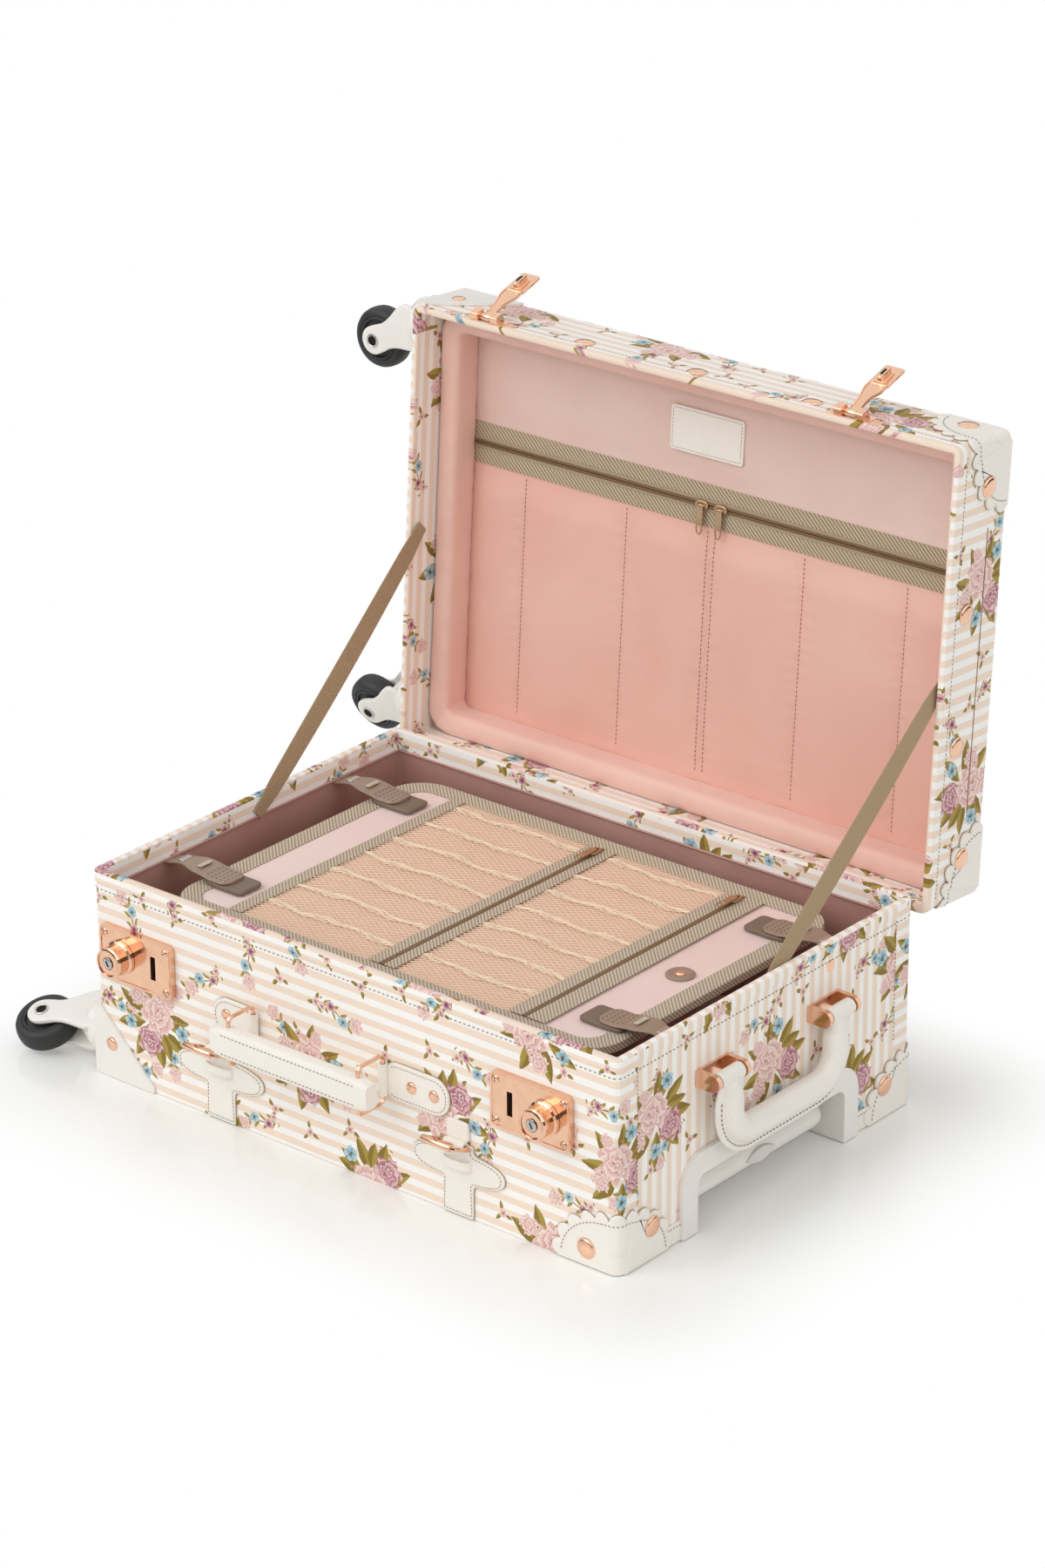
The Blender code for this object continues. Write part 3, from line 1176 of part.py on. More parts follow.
def main():
    """Build every piece, with the lid open against its stays."""
    clear_scene()
    fabric = finish_of("striped_fabric", (0.94, 0.84, 0.76), 0.75)
    leather = finish_of("off_white_leather", (0.88, 0.85, 0.79), 0.5)
    plastic = finish_of("white_plastic", (0.90, 0.89, 0.87), 0.35)
    rubber = finish_of("black_rubber", (0.02, 0.02, 0.02), 0.6)
    copper = finish_of("rose_gold_plate", (0.80, 0.40, 0.23), 0.22, 1.0)
    metal = finish_of("aluminium_tube", (0.75, 0.76, 0.78), 0.3, 1.0)
    satin = finish_of("pink_satin", (0.76, 0.43, 0.36), 0.45)
    board = finish_of("pale_pink_board", (0.89, 0.68, 0.65), 0.6)
    net = finish_of("peach_net", (0.85, 0.60, 0.40), 0.8)
    taupe = finish_of("taupe_moulding", (0.38, 0.30, 0.22), 0.6)

    lid_pivot = Pivot("lid_hinge", HINGE_AXIS, "X", -LID_OPEN_ANGLE)
    make_base_shell(fabric)
    lid_pivot.carry(make_lid_shell(fabric))
    make_hinge(copper, lid_pivot)

    for label, side in (("front", 1), ("rear", -1)):
        base_side = side * FRONT
        lid_side = side * LID_FRONT
        lid_guard_corner = corner_frame(LID_END, lid_side, LID_TOP, -1, side, -1)
        lid_housing_corner = corner_frame(-LID_END, lid_side, LID_TOP, 1, side, -1)
        make_guard(f"base_guard_{label}", corner_frame(END, base_side, 0, -1, side, 1), leather)
        lid_pivot.carry(make_guard(f"lid_guard_{label}", lid_guard_corner, leather))
        make_housing(f"base_wheel_housing_{label}", corner_frame(-END, base_side, 0, 1, side, 1), plastic)
        lid_pivot.carry(make_housing(f"lid_wheel_housing_{label}", lid_housing_corner, plastic))
        base_swivel = (-END - BARREL_LENGTH, base_side + side * SWIVEL_FROM_SIDE, SWIVEL_FROM_PANEL)
        make_caster(f"base_caster_{label}", base_swivel, -side * BASE_SWIVEL_TURN, plastic, rubber)
        lid_swivel_y = lid_side + side * SWIVEL_FROM_SIDE
        lid_swivel = (-LID_END - BARREL_LENGTH, lid_swivel_y, LID_TOP - SWIVEL_FROM_PANEL)
        rest_turn = LID_FRONT_SWIVEL_TURN if side > 0 else LID_REAR_SWIVEL_TURN
        make_caster(f"lid_caster_{label}", lid_swivel, LID_OPEN_ANGLE + rest_turn, plastic, rubber, lid_pivot)

    make_lock("left", LOCK_LEFT, 1, copper, lid_pivot)
    make_lock("right", LOCK_RIGHT, -1, copper, lid_pivot)
    make_front_handle(leather, copper)
    make_belt("left", BELT_LEFT_CENTRE, leather, copper)
    make_belt("right", BELT_RIGHT_CENTRE, leather, copper)
    make_end_handle(leather, copper)
    make_trolley(plastic, metal)
    make_divider(board, net, taupe, copper)

    lid_pivot.carry(make_padded_roll(satin), make_pocket_panel(satin))
    zip_y = LID_FRONT_INSIDE + POCKET_ZIP_FROM_FRONT
    zip_z = LID_PANEL_INSIDE - SEAT_GAP - POCKET_THICKNESS - SEAT_GAP
    for label, side in (("left", -1), ("right", 1)):
        centre = (side * LID_ZIP_SPACING / 2, zip_y, zip_z)
        slider = make_zip_slider(
            f"lid_zip_slider_{label}", centre, (-side, 0, 0), (0, 1, 0), (0, 0, -1), copper
        )
        lid_pivot.carry(slider)
        make_stay(label, side, -LID_OPEN_ANGLE, taupe)


main()
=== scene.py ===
"""Open cabin suitcase in striped, flower-printed cloth: its looks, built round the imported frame.

Lengths are in metres. Lid pieces are worked out with the lid shut and then swung open with it.
"""
import json
import math

import bmesh
import bpy
import numpy as np
from mathutils import Matrix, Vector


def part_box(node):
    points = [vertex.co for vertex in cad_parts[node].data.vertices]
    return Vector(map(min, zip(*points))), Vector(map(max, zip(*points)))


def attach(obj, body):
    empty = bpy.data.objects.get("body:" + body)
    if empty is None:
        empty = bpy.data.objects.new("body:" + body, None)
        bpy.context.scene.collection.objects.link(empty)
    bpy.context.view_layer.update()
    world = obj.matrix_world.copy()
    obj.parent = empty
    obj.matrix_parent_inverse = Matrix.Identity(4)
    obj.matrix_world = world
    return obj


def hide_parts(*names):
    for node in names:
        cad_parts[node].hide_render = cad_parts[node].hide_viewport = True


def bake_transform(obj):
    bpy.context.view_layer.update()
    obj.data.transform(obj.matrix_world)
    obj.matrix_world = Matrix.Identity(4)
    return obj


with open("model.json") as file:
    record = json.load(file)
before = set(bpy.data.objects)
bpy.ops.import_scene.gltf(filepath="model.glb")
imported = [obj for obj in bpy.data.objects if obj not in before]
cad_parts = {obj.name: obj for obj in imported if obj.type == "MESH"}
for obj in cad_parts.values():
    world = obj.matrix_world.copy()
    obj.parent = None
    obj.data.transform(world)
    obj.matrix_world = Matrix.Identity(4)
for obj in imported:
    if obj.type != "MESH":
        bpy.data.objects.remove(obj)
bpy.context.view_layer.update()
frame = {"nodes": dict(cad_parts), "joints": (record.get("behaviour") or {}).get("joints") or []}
MM = 0.001

# The tray and the lid, as in the solids.
BASE_END, BASE_SIDE, BASE_TOP, BASE_WALL = 0.250, 0.1725, 0.167, 0.005
LID_END, LID_SIDE, LID_RIM, LID_TOP, LID_WALL = 0.2555, 0.178, 0.146, 0.209, 0.004
SHELL_CORNER = 0.006
HINGE = np.array((0, 0.182, 0.147))
OPEN_ANGLE = math.radians(94)
BOARD_END, BOARD_SIDE, BOARD_CORNER = 0.205, 0.143, 0.030
ZIP_MIDDLE, ZIP_RIGHT, LID_ZIP = -0.005, 0.129, -0.064
BELTS = (("left", -0.124), ("right", 0.106))
BUCKLE_PIN = (-0.177, 0.058)
HASPS = {"left": -0.186, "right": 0.157}
LOCK_LEVEL, TAB_LEVEL = 0.107, 0.088


# Shapes: a patch is a pair (points, four-cornered faces).

def opened(points):
    """Lid point at rest: its shut place turned about the hinge line by the open angle."""
    cos, sin = math.cos(OPEN_ANGLE), math.sin(OPEN_ANGLE)
    x, y, z = np.moveaxis(np.asarray(points, float) - HINGE, -1, 0)
    return np.stack((x, cos * y + sin * z, cos * z - sin * y), -1) + HINGE


def lifted(patch):
    """Lid patch swung open."""
    return opened(patch[0]), patch[1]


def unit(vectors):
    """Each vector divided by its length."""
    vectors = np.asarray(vectors, float)
    return vectors / np.linalg.norm(vectors, axis=-1, keepdims=True)


def smooth(value, start, stop):
    """0 before start, 1 after stop, and the curve 3t^2 - 2t^3 between."""
    share = np.clip((np.asarray(value, float) - start) / (stop - start), 0, 1)
    return share * share * (3 - 2 * share)


def shaped(grid, loop_rows=False, loop_columns=False):
    """Patch over a grid of points: each face joins four neighbours; a loop joins the last to the first."""
    rows, columns = grid.shape[:2]
    index = np.arange(rows * columns).reshape(rows, columns)
    if loop_rows:
        index = np.vstack((index, index[:1]))
    if loop_columns:
        index = np.hstack((index, index[:, :1]))
    faces = np.stack((index[:-1, :-1], index[:-1, 1:], index[1:, 1:], index[1:, :-1]), -1)
    return grid.reshape(-1, 3), faces.reshape(-1, 4)


def joined(*patches):
    """One patch of several: faces are moved on by the points before them."""
    starts = np.cumsum([0] + [len(points) for points, _ in patches[:-1]])
    faces = [faces + start for (_, faces), start in zip(patches, starts)]
    return np.concatenate([points for points, _ in patches]), np.concatenate(faces)


def copies(patch, places, axes):
    """Patch repeated: copy k = place k + local point times the k-th set of three axis vectors."""
    points, faces = patch
    places = np.atleast_2d(np.asarray(places, float))
    axes = np.broadcast_to(np.asarray(axes, float), (len(places), 3, 3))
    moved = np.einsum("pi,kij->kpj", points, axes) + places[:, None]
    starts = np.arange(len(places)) * len(points)
    return moved.reshape(-1, 3), (faces[None] + starts[:, None, None]).reshape(-1, 4)


def sweep(path, section, across, up, loop=False):
    """Point (i, j) = path i + section j's first value across + its second value up; open ends pinch shut."""
    path = np.asarray(path, float)
    across = np.broadcast_to(np.asarray(across, float), path.shape)
    up = np.broadcast_to(np.asarray(up, float), path.shape)
    section = np.asarray(section, float)
    section = np.broadcast_to(section, (len(path),) + section.shape[-2:])
    grid = path[:, None] + section[..., :1] * across[:, None] + section[..., 1:] * up[:, None]
    if not loop:
        first, last = (np.broadcast_to(row.mean(0), row.shape) for row in (grid[0], grid[-1]))
        grid = np.concatenate((first[None], grid, last[None]))
    return shaped(grid, loop, True)


def turned(profile, steps, loop=False):
    """Profile of (radius, height) in mm turned about local Z: point = (r cos a, r sin a, h)."""
    profile = np.asarray(profile, float) * MM
    angle = np.linspace(0, 2 * np.pi, steps, endpoint=False)
    spokes = np.stack((np.cos(angle), np.sin(angle)), -1)
    flat = profile[:, None, :1] * spokes
    level = np.broadcast_to(profile[:, None, 1:], flat.shape[:2] + (1,))
    return shaped(np.concatenate((flat, level), -1), loop, True)


def oval(half_wide, half_high, power=2.0, steps=16):
    """Superellipse: |x/a|^p + |y/b|^p = 1, walked by angle."""
    angle = np.linspace(0, 2 * np.pi, steps, endpoint=False)
    cos, sin = np.cos(angle), np.sin(angle)
    reach = lambda value: np.sign(value) * np.abs(value) ** (2 / power)
    return np.stack((half_wide * reach(cos), half_high * reach(sin)), -1)


def rounded_loop(half_x, half_y, corner, per_side=40, per_corner=8):
    """Rounded rectangle, anticlockwise: a quarter arc at each corner and a straight run after it.

    Gives the points and the outward normals.
    """
    angle = np.arange(4)[:, None] * np.pi / 2 + np.linspace(0, np.pi / 2, per_corner + 1)
    normals = np.stack((np.cos(angle), np.sin(angle)), -1)
    centres = np.array(((1, 1), (-1, 1), (-1, -1), (1, -1))) * (half_x - corner, half_y - corner)
    arcs = centres[:, None] + corner * normals
    share = np.linspace(0, 1, per_side + 2)[1:-1, None]
    ends = np.roll(arcs[:, 0], -1, 0)
    runs = arcs[:, -1][:, None] * (1 - share) + ends[:, None] * share
    run_normals = np.broadcast_to(normals[:, -1][:, None], runs.shape)
    points = np.concatenate((arcs, runs), 1).reshape(-1, 2)
    return points, np.concatenate((normals, run_normals), 1).reshape(-1, 2)


def hoop(loop, section, stretch=None):
    """Section of (outward, level) carried round a loop: point = loop + outward * normal, at that level."""
    points, normals = loop
    section = np.asarray(section, float)
    outward = np.broadcast_to(section[:, 0], (len(points), len(section)))
    if stretch is not None:
        outward = np.where(outward > 0, outward * stretch[:, None], outward)
    flat = points[:, None] + outward[..., None] * normals[:, None]
    level = np.broadcast_to(section[:, 1:], flat.shape[:2] + (1,))
    return shaped(np.concatenate((flat, level), -1), True, True)


def plate(outline, thickness, edge, dome=0.0):
    """Flat part on local Z: its outline goes up the rim, in over a rounded edge and over a low dome."""
    outline = np.asarray(outline, float)
    reach = np.linalg.norm(outline, axis=-1, keepdims=True)
    # Each ring's way in from the outline, its level and its share of the dome.
    rings = ((1.0, 0, 0), (0, 0, 0), (-edge / 2, edge / 2, 0), (-edge / 2, thickness - edge, 0),
             (0, thickness - edge / 3, 0), (edge, thickness, 0.05), (3 * edge, thickness, 0.35),
             (1.0, thickness, 1.0))
    rows = []
    for inset, level, crown in rings:
        flat = outline * np.clip(1 - inset / reach, 0, None)
        rows.append(np.concatenate((flat, np.full_like(reach, level + crown * dome)), -1))
    return shaped(np.stack(rows), False, True)


def frame_of(out, along):
    """Three axes: along, out x along, and out."""
    out, along = unit(out), unit(along)
    return np.stack((along, np.cross(out, along), np.broadcast_to(out, along.shape)), -2)


FLAT, FACING_IN = np.eye(3), np.diag((1.0, -1.0, -1.0))
FACING_FRONT = frame_of((0, -1, 0), (1, 0, 0))


def slab(half_x, half_y, corner, thickness, edge, place, axes=FLAT):
    """Rounded rectangular plate, measured in mm, set at a place and facing along the third axis."""
    outline, _ = rounded_loop(half_x * MM, half_y * MM, corner * MM, 3, 4)
    return copies(plate(outline, thickness * MM, edge * MM), place, axes)


def ribbon(path, half, thick, power, steps, across, up):
    """Strap along a path: a superellipse section, half wide as given at each point and thick all along."""
    section = oval(1.0, thick, power, steps)[None] * np.stack((half, np.ones_like(half)), -1)[:, None]
    return sweep(path, section, across, up)


def sleeve(centre, axis, half_long, outer, inner):
    """Short tube round X, Y or Z (axis 0, 1 or 2): a square section, measured in mm, turned about it."""
    ends = np.array(((-half_long, outer), (half_long, outer), (half_long, inner), (-half_long, inner))) * MM
    spin = np.linspace(0, 2 * np.pi, 24, endpoint=False)[:, None]
    across, up = (k for k in range(3) if k != axis)
    grid = np.empty((24, 4, 3))
    grid[..., axis] = centre[axis] + ends[:, 0]
    grid[..., across] = centre[across] + ends[:, 1] * np.cos(spin)
    grid[..., up] = centre[up] + ends[:, 1] * np.sin(spin)
    return shaped(grid, True, True)


def spaced(path, pitch, margin=0.0):
    """Points and directions every pitch along a line, by its running length."""
    path = np.asarray(path, float)
    steps = np.linalg.norm(np.diff(path, axis=0), axis=1)
    run = np.concatenate(([0], np.cumsum(steps)))
    at = np.arange(margin, run[-1] - margin + 1e-9, pitch)
    spot, ahead, behind = (np.stack([np.interp(at + on, run, path[:, k]) for k in range(3)], -1)
                           for on in (0, pitch / 4, -pitch / 4))
    return spot, unit(ahead - behind)


def stitch(length, radius):
    """One stitch along X, in mm: a five-sided capsule, full in the middle and pinched at its ends."""
    body = np.zeros((5, 3))
    body[:, 0] = np.array((-0.5, -0.36, 0, 0.36, 0.5)) * length * MM
    size = np.array((0.02, 0.75, 1.0, 0.75, 0.02)) * radius * MM
    section = oval(1.0, 0.8, steps=5)[None] * size[:, None, None]
    return sweep(body, section, (0, 1, 0), (0, 0, 1))


def stitches(path, out, pitch, length, radius):
    """Row of thread stitches, in mm: one every pitch along a line, lying on a face that looks out."""
    spot, along = spaced(path, pitch * MM, length * MM / 2)
    return copies(stitch(length, radius), spot, frame_of(np.broadcast_to(unit(out), along.shape), along))


def rivet(radius, height):
    """Domed stud, in mm: a low rim, a step and a round top."""
    share = np.linspace(0, np.pi / 2, 6)
    crown = [(radius * 0.86 * math.cos(a), height * (0.3 + 0.7 * math.sin(a))) for a in share]
    return turned([(0, 0), (radius, 0), (radius, height * 0.18), (radius * 0.92, height * 0.3)] + crown, 20)


def piece(name, patch, finish, body, replaces=(), sheet=False, crease=40):
    """New object of a patch: doubles merged, faces out, smooth but for creases, riding on a body if any."""
    points, faces = patch
    mesh = bpy.data.meshes.new(name)
    mesh.from_pydata(points.tolist(), [], faces.tolist())
    shell = bmesh.new()
    shell.from_mesh(mesh)
    bmesh.ops.remove_doubles(shell, verts=shell.verts, dist=2e-6)
    bmesh.ops.dissolve_degenerate(shell, edges=shell.edges, dist=1e-7)
    if not sheet:
        bmesh.ops.recalc_face_normals(shell, faces=shell.faces)
    shell.to_mesh(mesh)
    shell.free()
    mesh.shade_smooth()
    mesh.set_sharp_from_angle(angle=math.radians(crease))
    mesh.materials.append(finish)
    made = bpy.data.objects.new(name, mesh)
    bpy.context.scene.collection.objects.link(made)
    if body:
        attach(made, body)
    if replaces:
        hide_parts(*replaces)
    return made


# Finishes.

def linear(code):
    """Linear RGBA of an sRGB hex colour."""
    value = np.array([int(code[k:k + 2], 16) for k in (1, 3, 5)]) / 255
    return (*np.where(value <= 0.04045, value / 12.92, ((value + 0.055) / 1.055) ** 2.4), 1.0)


def add(tree, kind, inputs=None, out=0, **settings):
    """Adds a shader node, with its settings and links, and gives one of its outputs."""
    node = tree.nodes.new("ShaderNode" + kind)
    for key, value in settings.items():
        setattr(node, key, value)
    for key, value in (inputs or {}).items():
        if isinstance(value, bpy.types.NodeSocket):
            tree.links.new(value, node.inputs[key])
        else:
            node.inputs[key].default_value = value
    return node.outputs[out] if node.outputs else None


def new_tree(name):
    """Empty material, its node tree and its Object coordinates."""
    made = bpy.data.materials.new(name)
    made.use_nodes = True
    made.node_tree.nodes.clear()
    return made, made.node_tree, add(made.node_tree, "TexCoord", out=3)


def slanted(tree, place):
    """Level lines of a slanting weave: x + y + z."""
    x, y, z = (add(tree, "SeparateXYZ", {0: place}, k) for k in range(3))
    return add(tree, "Math", {0: add(tree, "Math", {0: x, 1: y}, operation="ADD"), 1: z}, operation="ADD")


def dressed(made, tree, colour, height, depth, rough=None, **sockets):
    """Ends a material: Principled shader with a bump of the given depth and its constant sockets."""
    inputs = {key.replace("_", " "): value for key, value in sockets.items()}
    inputs["Base Color"] = colour
    if rough is not None:
        inputs["Roughness"] = rough
    inputs["Normal"] = add(tree, "Bump", {"Height": height, "Distance": depth, "Strength": 1.0})
    add(tree, "OutputMaterial", {"Surface": add(tree, "BsdfPrincipled", inputs)})
    return made


def cells(tree, u, v, size, loose, turn):
    """Loose lattice under the print.

    Gives the place from a cell's middle, turned by chance, and another chance of the cell.
    """
    spot = add(tree, "CombineXYZ", {0: u, 1: v})
    spot = add(tree, "Mapping", {"Vector": spot, "Location": (turn, turn * 0.37, 0), "Rotation": (0, 0, turn),
                                 "Scale": (1 / size,) * 3})
    seeds = {"Vector": spot, "Scale": 1.0, "Randomness": loose}
    centre = add(tree, "TexVoronoi", seeds, 2, voronoi_dimensions="2D")
    chance = add(tree, "TexVoronoi", seeds, 1, voronoi_dimensions="2D")
    red, green = (add(tree, "SeparateXYZ", {0: chance}, k) for k in range(2))
    local = add(tree, "VectorMath", {0: spot, 1: centre}, operation="SUBTRACT")
    angle = add(tree, "Math", {0: green, 1: 2 * math.pi}, operation="MULTIPLY")
    local = add(tree, "VectorRotate", {"Vector": local, "Angle": angle}, rotation_type="Z_AXIS")
    return add(tree, "VectorMath", {0: local, 3: size}, operation="SCALE"), red


def polar(tree, local, at):
    """Distance and angle of the print from a point of the cell, in mm and radians."""
    spoke = add(tree, "VectorMath", {0: local, 1: (at[0] * MM, at[1] * MM, 0)}, operation="SUBTRACT")
    reach = add(tree, "VectorMath", {0: spoke}, 1, operation="LENGTH")
    reach = add(tree, "Math", {0: reach, 1: 1000.0}, operation="MULTIPLY")
    x, y = (add(tree, "SeparateXYZ", {0: spoke}, k) for k in range(2))
    return reach, add(tree, "Math", {0: y, 1: x}, operation="ARCTAN2")


def blossom(tree, ground, local, present, at, size, petals, colours, curled=False):
    """Prints one flower: its edge is size (0.78 + 0.22 |cos(petals a / 2)|), roughened as if by a brush.

    Lines are drawn inside it, as a spiral where it is curled and else as a star.
    """
    petal, pale, line = (linear(code) for code in colours)
    reach, angle = polar(tree, local, at)
    reach = add(tree, "Math", {0: reach, 1: size}, operation="DIVIDE")
    brush = add(tree, "TexNoise", {"Vector": local, "Scale": 2600.0 / size, "Detail": 1.0})
    stroke = add(tree, "MapRange", {0: brush, 1: 0.3, 2: 0.7, 3: -0.13, 4: 0.13})
    reach = add(tree, "Math", {0: reach, 1: stroke}, operation="ADD")
    wave = add(tree, "Math", {0: angle, 1: petals / 2}, operation="MULTIPLY")
    wave = add(tree, "Math", {0: add(tree, "Math", {0: wave}, operation="COSINE")}, operation="ABSOLUTE")
    edge = add(tree, "Math", {0: wave, 1: 0.22, 2: 0.78}, operation="MULTIPLY_ADD")
    mask = add(tree, "Math", {0: edge, 1: reach}, operation="SUBTRACT")
    mask = add(tree, "MapRange", {0: mask, 1: 0.0, 2: 0.05})
    mask = add(tree, "Math", {0: mask, 1: present}, operation="MULTIPLY")
    if curled:
        turn = add(tree, "Math", {0: angle, 1: 1 / (2 * math.pi)}, operation="MULTIPLY")
        turn = add(tree, "Math", {0: reach, 1: 3.2, 2: turn}, operation="MULTIPLY_ADD")
        turn = add(tree, "Math", {0: wave, 1: 0.45, 2: turn}, operation="MULTIPLY_ADD")
        curl = add(tree, "Math", {0: turn}, operation="FRACT")
        drawn = add(tree, "MapRange", {0: curl, 1: 0.16, 2: 0.26, 3: 1.0, 4: 0.0})
        near = add(tree, "MapRange", {0: reach, 1: 0.25, 2: 0.85, 3: 1.0, 4: 0.15})
        drawn = add(tree, "Math", {0: drawn, 1: near}, operation="MULTIPLY")
        pressed = add(tree, "MapRange", {0: brush, 1: 0.42, 2: 0.56, 3: 0.15, 4: 1.0})
        drawn = add(tree, "Math", {0: drawn, 1: pressed}, operation="MULTIPLY")
        shade = add(tree, "MapRange", {0: curl, 1: 0.3, 2: 0.95})
    else:
        drawn = add(tree, "MapRange", {0: wave, 1: 0.12, 2: 0.3, 3: 0.7, 4: 0.0})
        heart = add(tree, "MapRange", {0: reach, 1: 0.2, 2: 0.3, 3: 1.0, 4: 0.0})
        drawn = add(tree, "Math", {0: drawn, 1: heart}, operation="MAXIMUM")
        shade = add(tree, "MapRange", {0: reach, 1: 0.35, 2: 0.95})
    tone = add(tree, "Mix", {0: shade, 6: petal, 7: pale}, 2, data_type="RGBA")
    tone = add(tree, "Mix", {0: drawn, 6: tone, 7: line}, 2, data_type="RGBA")
    return add(tree, "Mix", {0: mask, 6: ground, 7: tone}, 2, data_type="RGBA")


def lens(tree, run, start, stop, half_wide, off):
    """Leaf: 1 where off is under half_wide sin(pi t), t going from 0 at start to 1 at stop; lengths in mm."""
    bow = add(tree, "MapRange", {0: run, 1: start, 2: stop, 3: 0.0, 4: math.pi})
    bow = add(tree, "Math", {0: bow}, operation="SINE")
    bow = add(tree, "Math", {0: bow, 1: half_wide}, operation="MULTIPLY")
    bow = add(tree, "Math", {0: bow, 1: off}, operation="SUBTRACT")
    return add(tree, "MapRange", {0: bow, 1: 0.0, 2: 0.3})


def leaf_fan(tree, ground, local, present, at, start, stop, count, wide, colours):
    """Prints leaves round a point: lenses wide mm across on evenly spread spokes, one half of each darker."""
    reach, angle = polar(tree, local, at)
    turn = add(tree, "Math", {0: angle, 1: count / (2 * math.pi)}, operation="MULTIPLY")
    turn = add(tree, "Math", {0: turn}, operation="FRACT")
    turn = add(tree, "Math", {0: turn, 1: 0.5}, operation="SUBTRACT")
    aside = add(tree, "Math", {0: turn, 1: reach}, operation="MULTIPLY")
    aside = add(tree, "Math", {0: aside, 1: 2 * math.pi / count}, operation="MULTIPLY")
    off = add(tree, "Math", {0: aside}, operation="ABSOLUTE")
    mask = lens(tree, reach, start, stop, wide / 2, off)
    mask = add(tree, "Math", {0: mask, 1: present}, operation="MULTIPLY")
    dark = add(tree, "MapRange", {0: aside, 1: -0.3, 2: 0.3})
    tone = add(tree, "Mix", {0: dark, 6: linear(colours[0]), 7: linear(colours[1])}, 2, data_type="RGBA")
    return add(tree, "Mix", {0: mask, 6: ground, 7: tone}, 2, data_type="RGBA")


def sprig(tree, ground, local, present, length, colours):
    """Prints a waving stem along the cell's own X with slanting leaf pairs every 8 mm; lengths in mm."""
    x, y = (add(tree, "Math", {0: add(tree, "SeparateXYZ", {0: local}, k), 1: 1000.0}, operation="MULTIPLY")
            for k in range(2))
    bend = add(tree, "Math", {0: x, 1: 0.16}, operation="MULTIPLY")
    bend = add(tree, "Math", {0: bend}, operation="SINE")
    off = add(tree, "Math", {0: bend, 1: 1.8, 2: y}, operation="MULTIPLY_ADD")
    off = add(tree, "Math", {0: off}, operation="ABSOLUTE")
    far = add(tree, "Math", {0: x}, operation="ABSOLUTE")
    inside = add(tree, "MapRange", {0: far, 1: length - 0.4, 2: length, 3: 1.0, 4: 0.0})
    inside = add(tree, "Math", {0: inside, 1: present}, operation="MULTIPLY")
    stem = add(tree, "MapRange", {0: off, 1: 0.35, 2: 0.7, 3: 1.0, 4: 0.0})
    lean = add(tree, "Math", {0: off, 1: -0.9, 2: x}, operation="MULTIPLY_ADD")
    lean = add(tree, "Math", {0: lean, 1: 4.0}, operation="PINGPONG")
    leaf = lens(tree, off, 0.2, 6.6, 2.0, lean)
    tone = add(tree, "Mix", {0: leaf, 6: linear(colours[1]), 7: linear(colours[0])}, 2, data_type="RGBA")
    mask = add(tree, "Math", {0: stem, 1: leaf}, operation="MAXIMUM")
    mask = add(tree, "Math", {0: mask, 1: inside}, operation="MULTIPLY")
    return add(tree, "Mix", {0: mask, 6: ground, 7: tone}, 2, data_type="RGBA")


def flowers(tree, ground, u, v):
    """The print: scattered buds, leafy sprigs with blossoms, and bouquets of two roses among small flowers.

    A blossom is its place in the cell and its size in mm, its petals, its colours and whether it is curled.
    """
    olive, pink = ("#AC9444", "#8C742C"), ("#E6B9B0", "#F8E6DF", "#A45F70")
    plum, blue = ("#B9798A", "#EFD0CC", "#7E3F55"), ("#8FBBCB", "#C9E0E6", "#6B5A48")
    on_sprig = (((16.0, 1.0), 6.6, 5, pink, True), ((4.0, -3.0), 5.0, 5, blue), ((-9.0, 3.0), 4.6, 5, plum),
                ((-16.5, -1.5), 3.6, 5, pink))
    bouquet = (((-24.0, 9.0), 6.5, 5, blue), ((20.0, -19.0), 7.0, 5, blue), ((25.0, 6.0), 6.0, 5, pink, True),
               ((-4.0, 23.0), 9.0, 5, pink, True), ((-15.0, -11.0), 13.5, 6, plum, True),
               ((7.0, 3.0), 18.0, 7, pink, True))
    local, chance = cells(tree, u, v, 0.034, 0.45, 0.4)
    some = add(tree, "Math", {0: chance, 1: 0.5}, operation="LESS_THAN")
    ground = leaf_fan(tree, ground, local, some, (0, 0), 2.0, 9.5, 3, 3.6, olive)
    ground = blossom(tree, ground, local, some, (0, 0), 4.0, 5, pink)
    local, chance = cells(tree, u, v, 0.056, 0.35, 1.1)
    some = add(tree, "Math", {0: chance, 1: 0.78}, operation="LESS_THAN")
    ground = sprig(tree, ground, local, some, 20.0, olive)
    for flower in on_sprig:
        ground = blossom(tree, ground, local, some, *flower)
    local, chance = cells(tree, u, v, 0.108, 0.30, 2.3)
    some = add(tree, "Math", {0: chance, 1: 0.86}, operation="LESS_THAN")
    ground = leaf_fan(tree, ground, local, some, (-2, 0), 8.0, 38.0, 8, 11.0, olive)
    ground = leaf_fan(tree, ground, local, some, (4, -4), 8.0, 31.0, 5, 10.0, olive)
    for flower in bouquet:
        ground = blossom(tree, ground, local, some, *flower)
    return ground


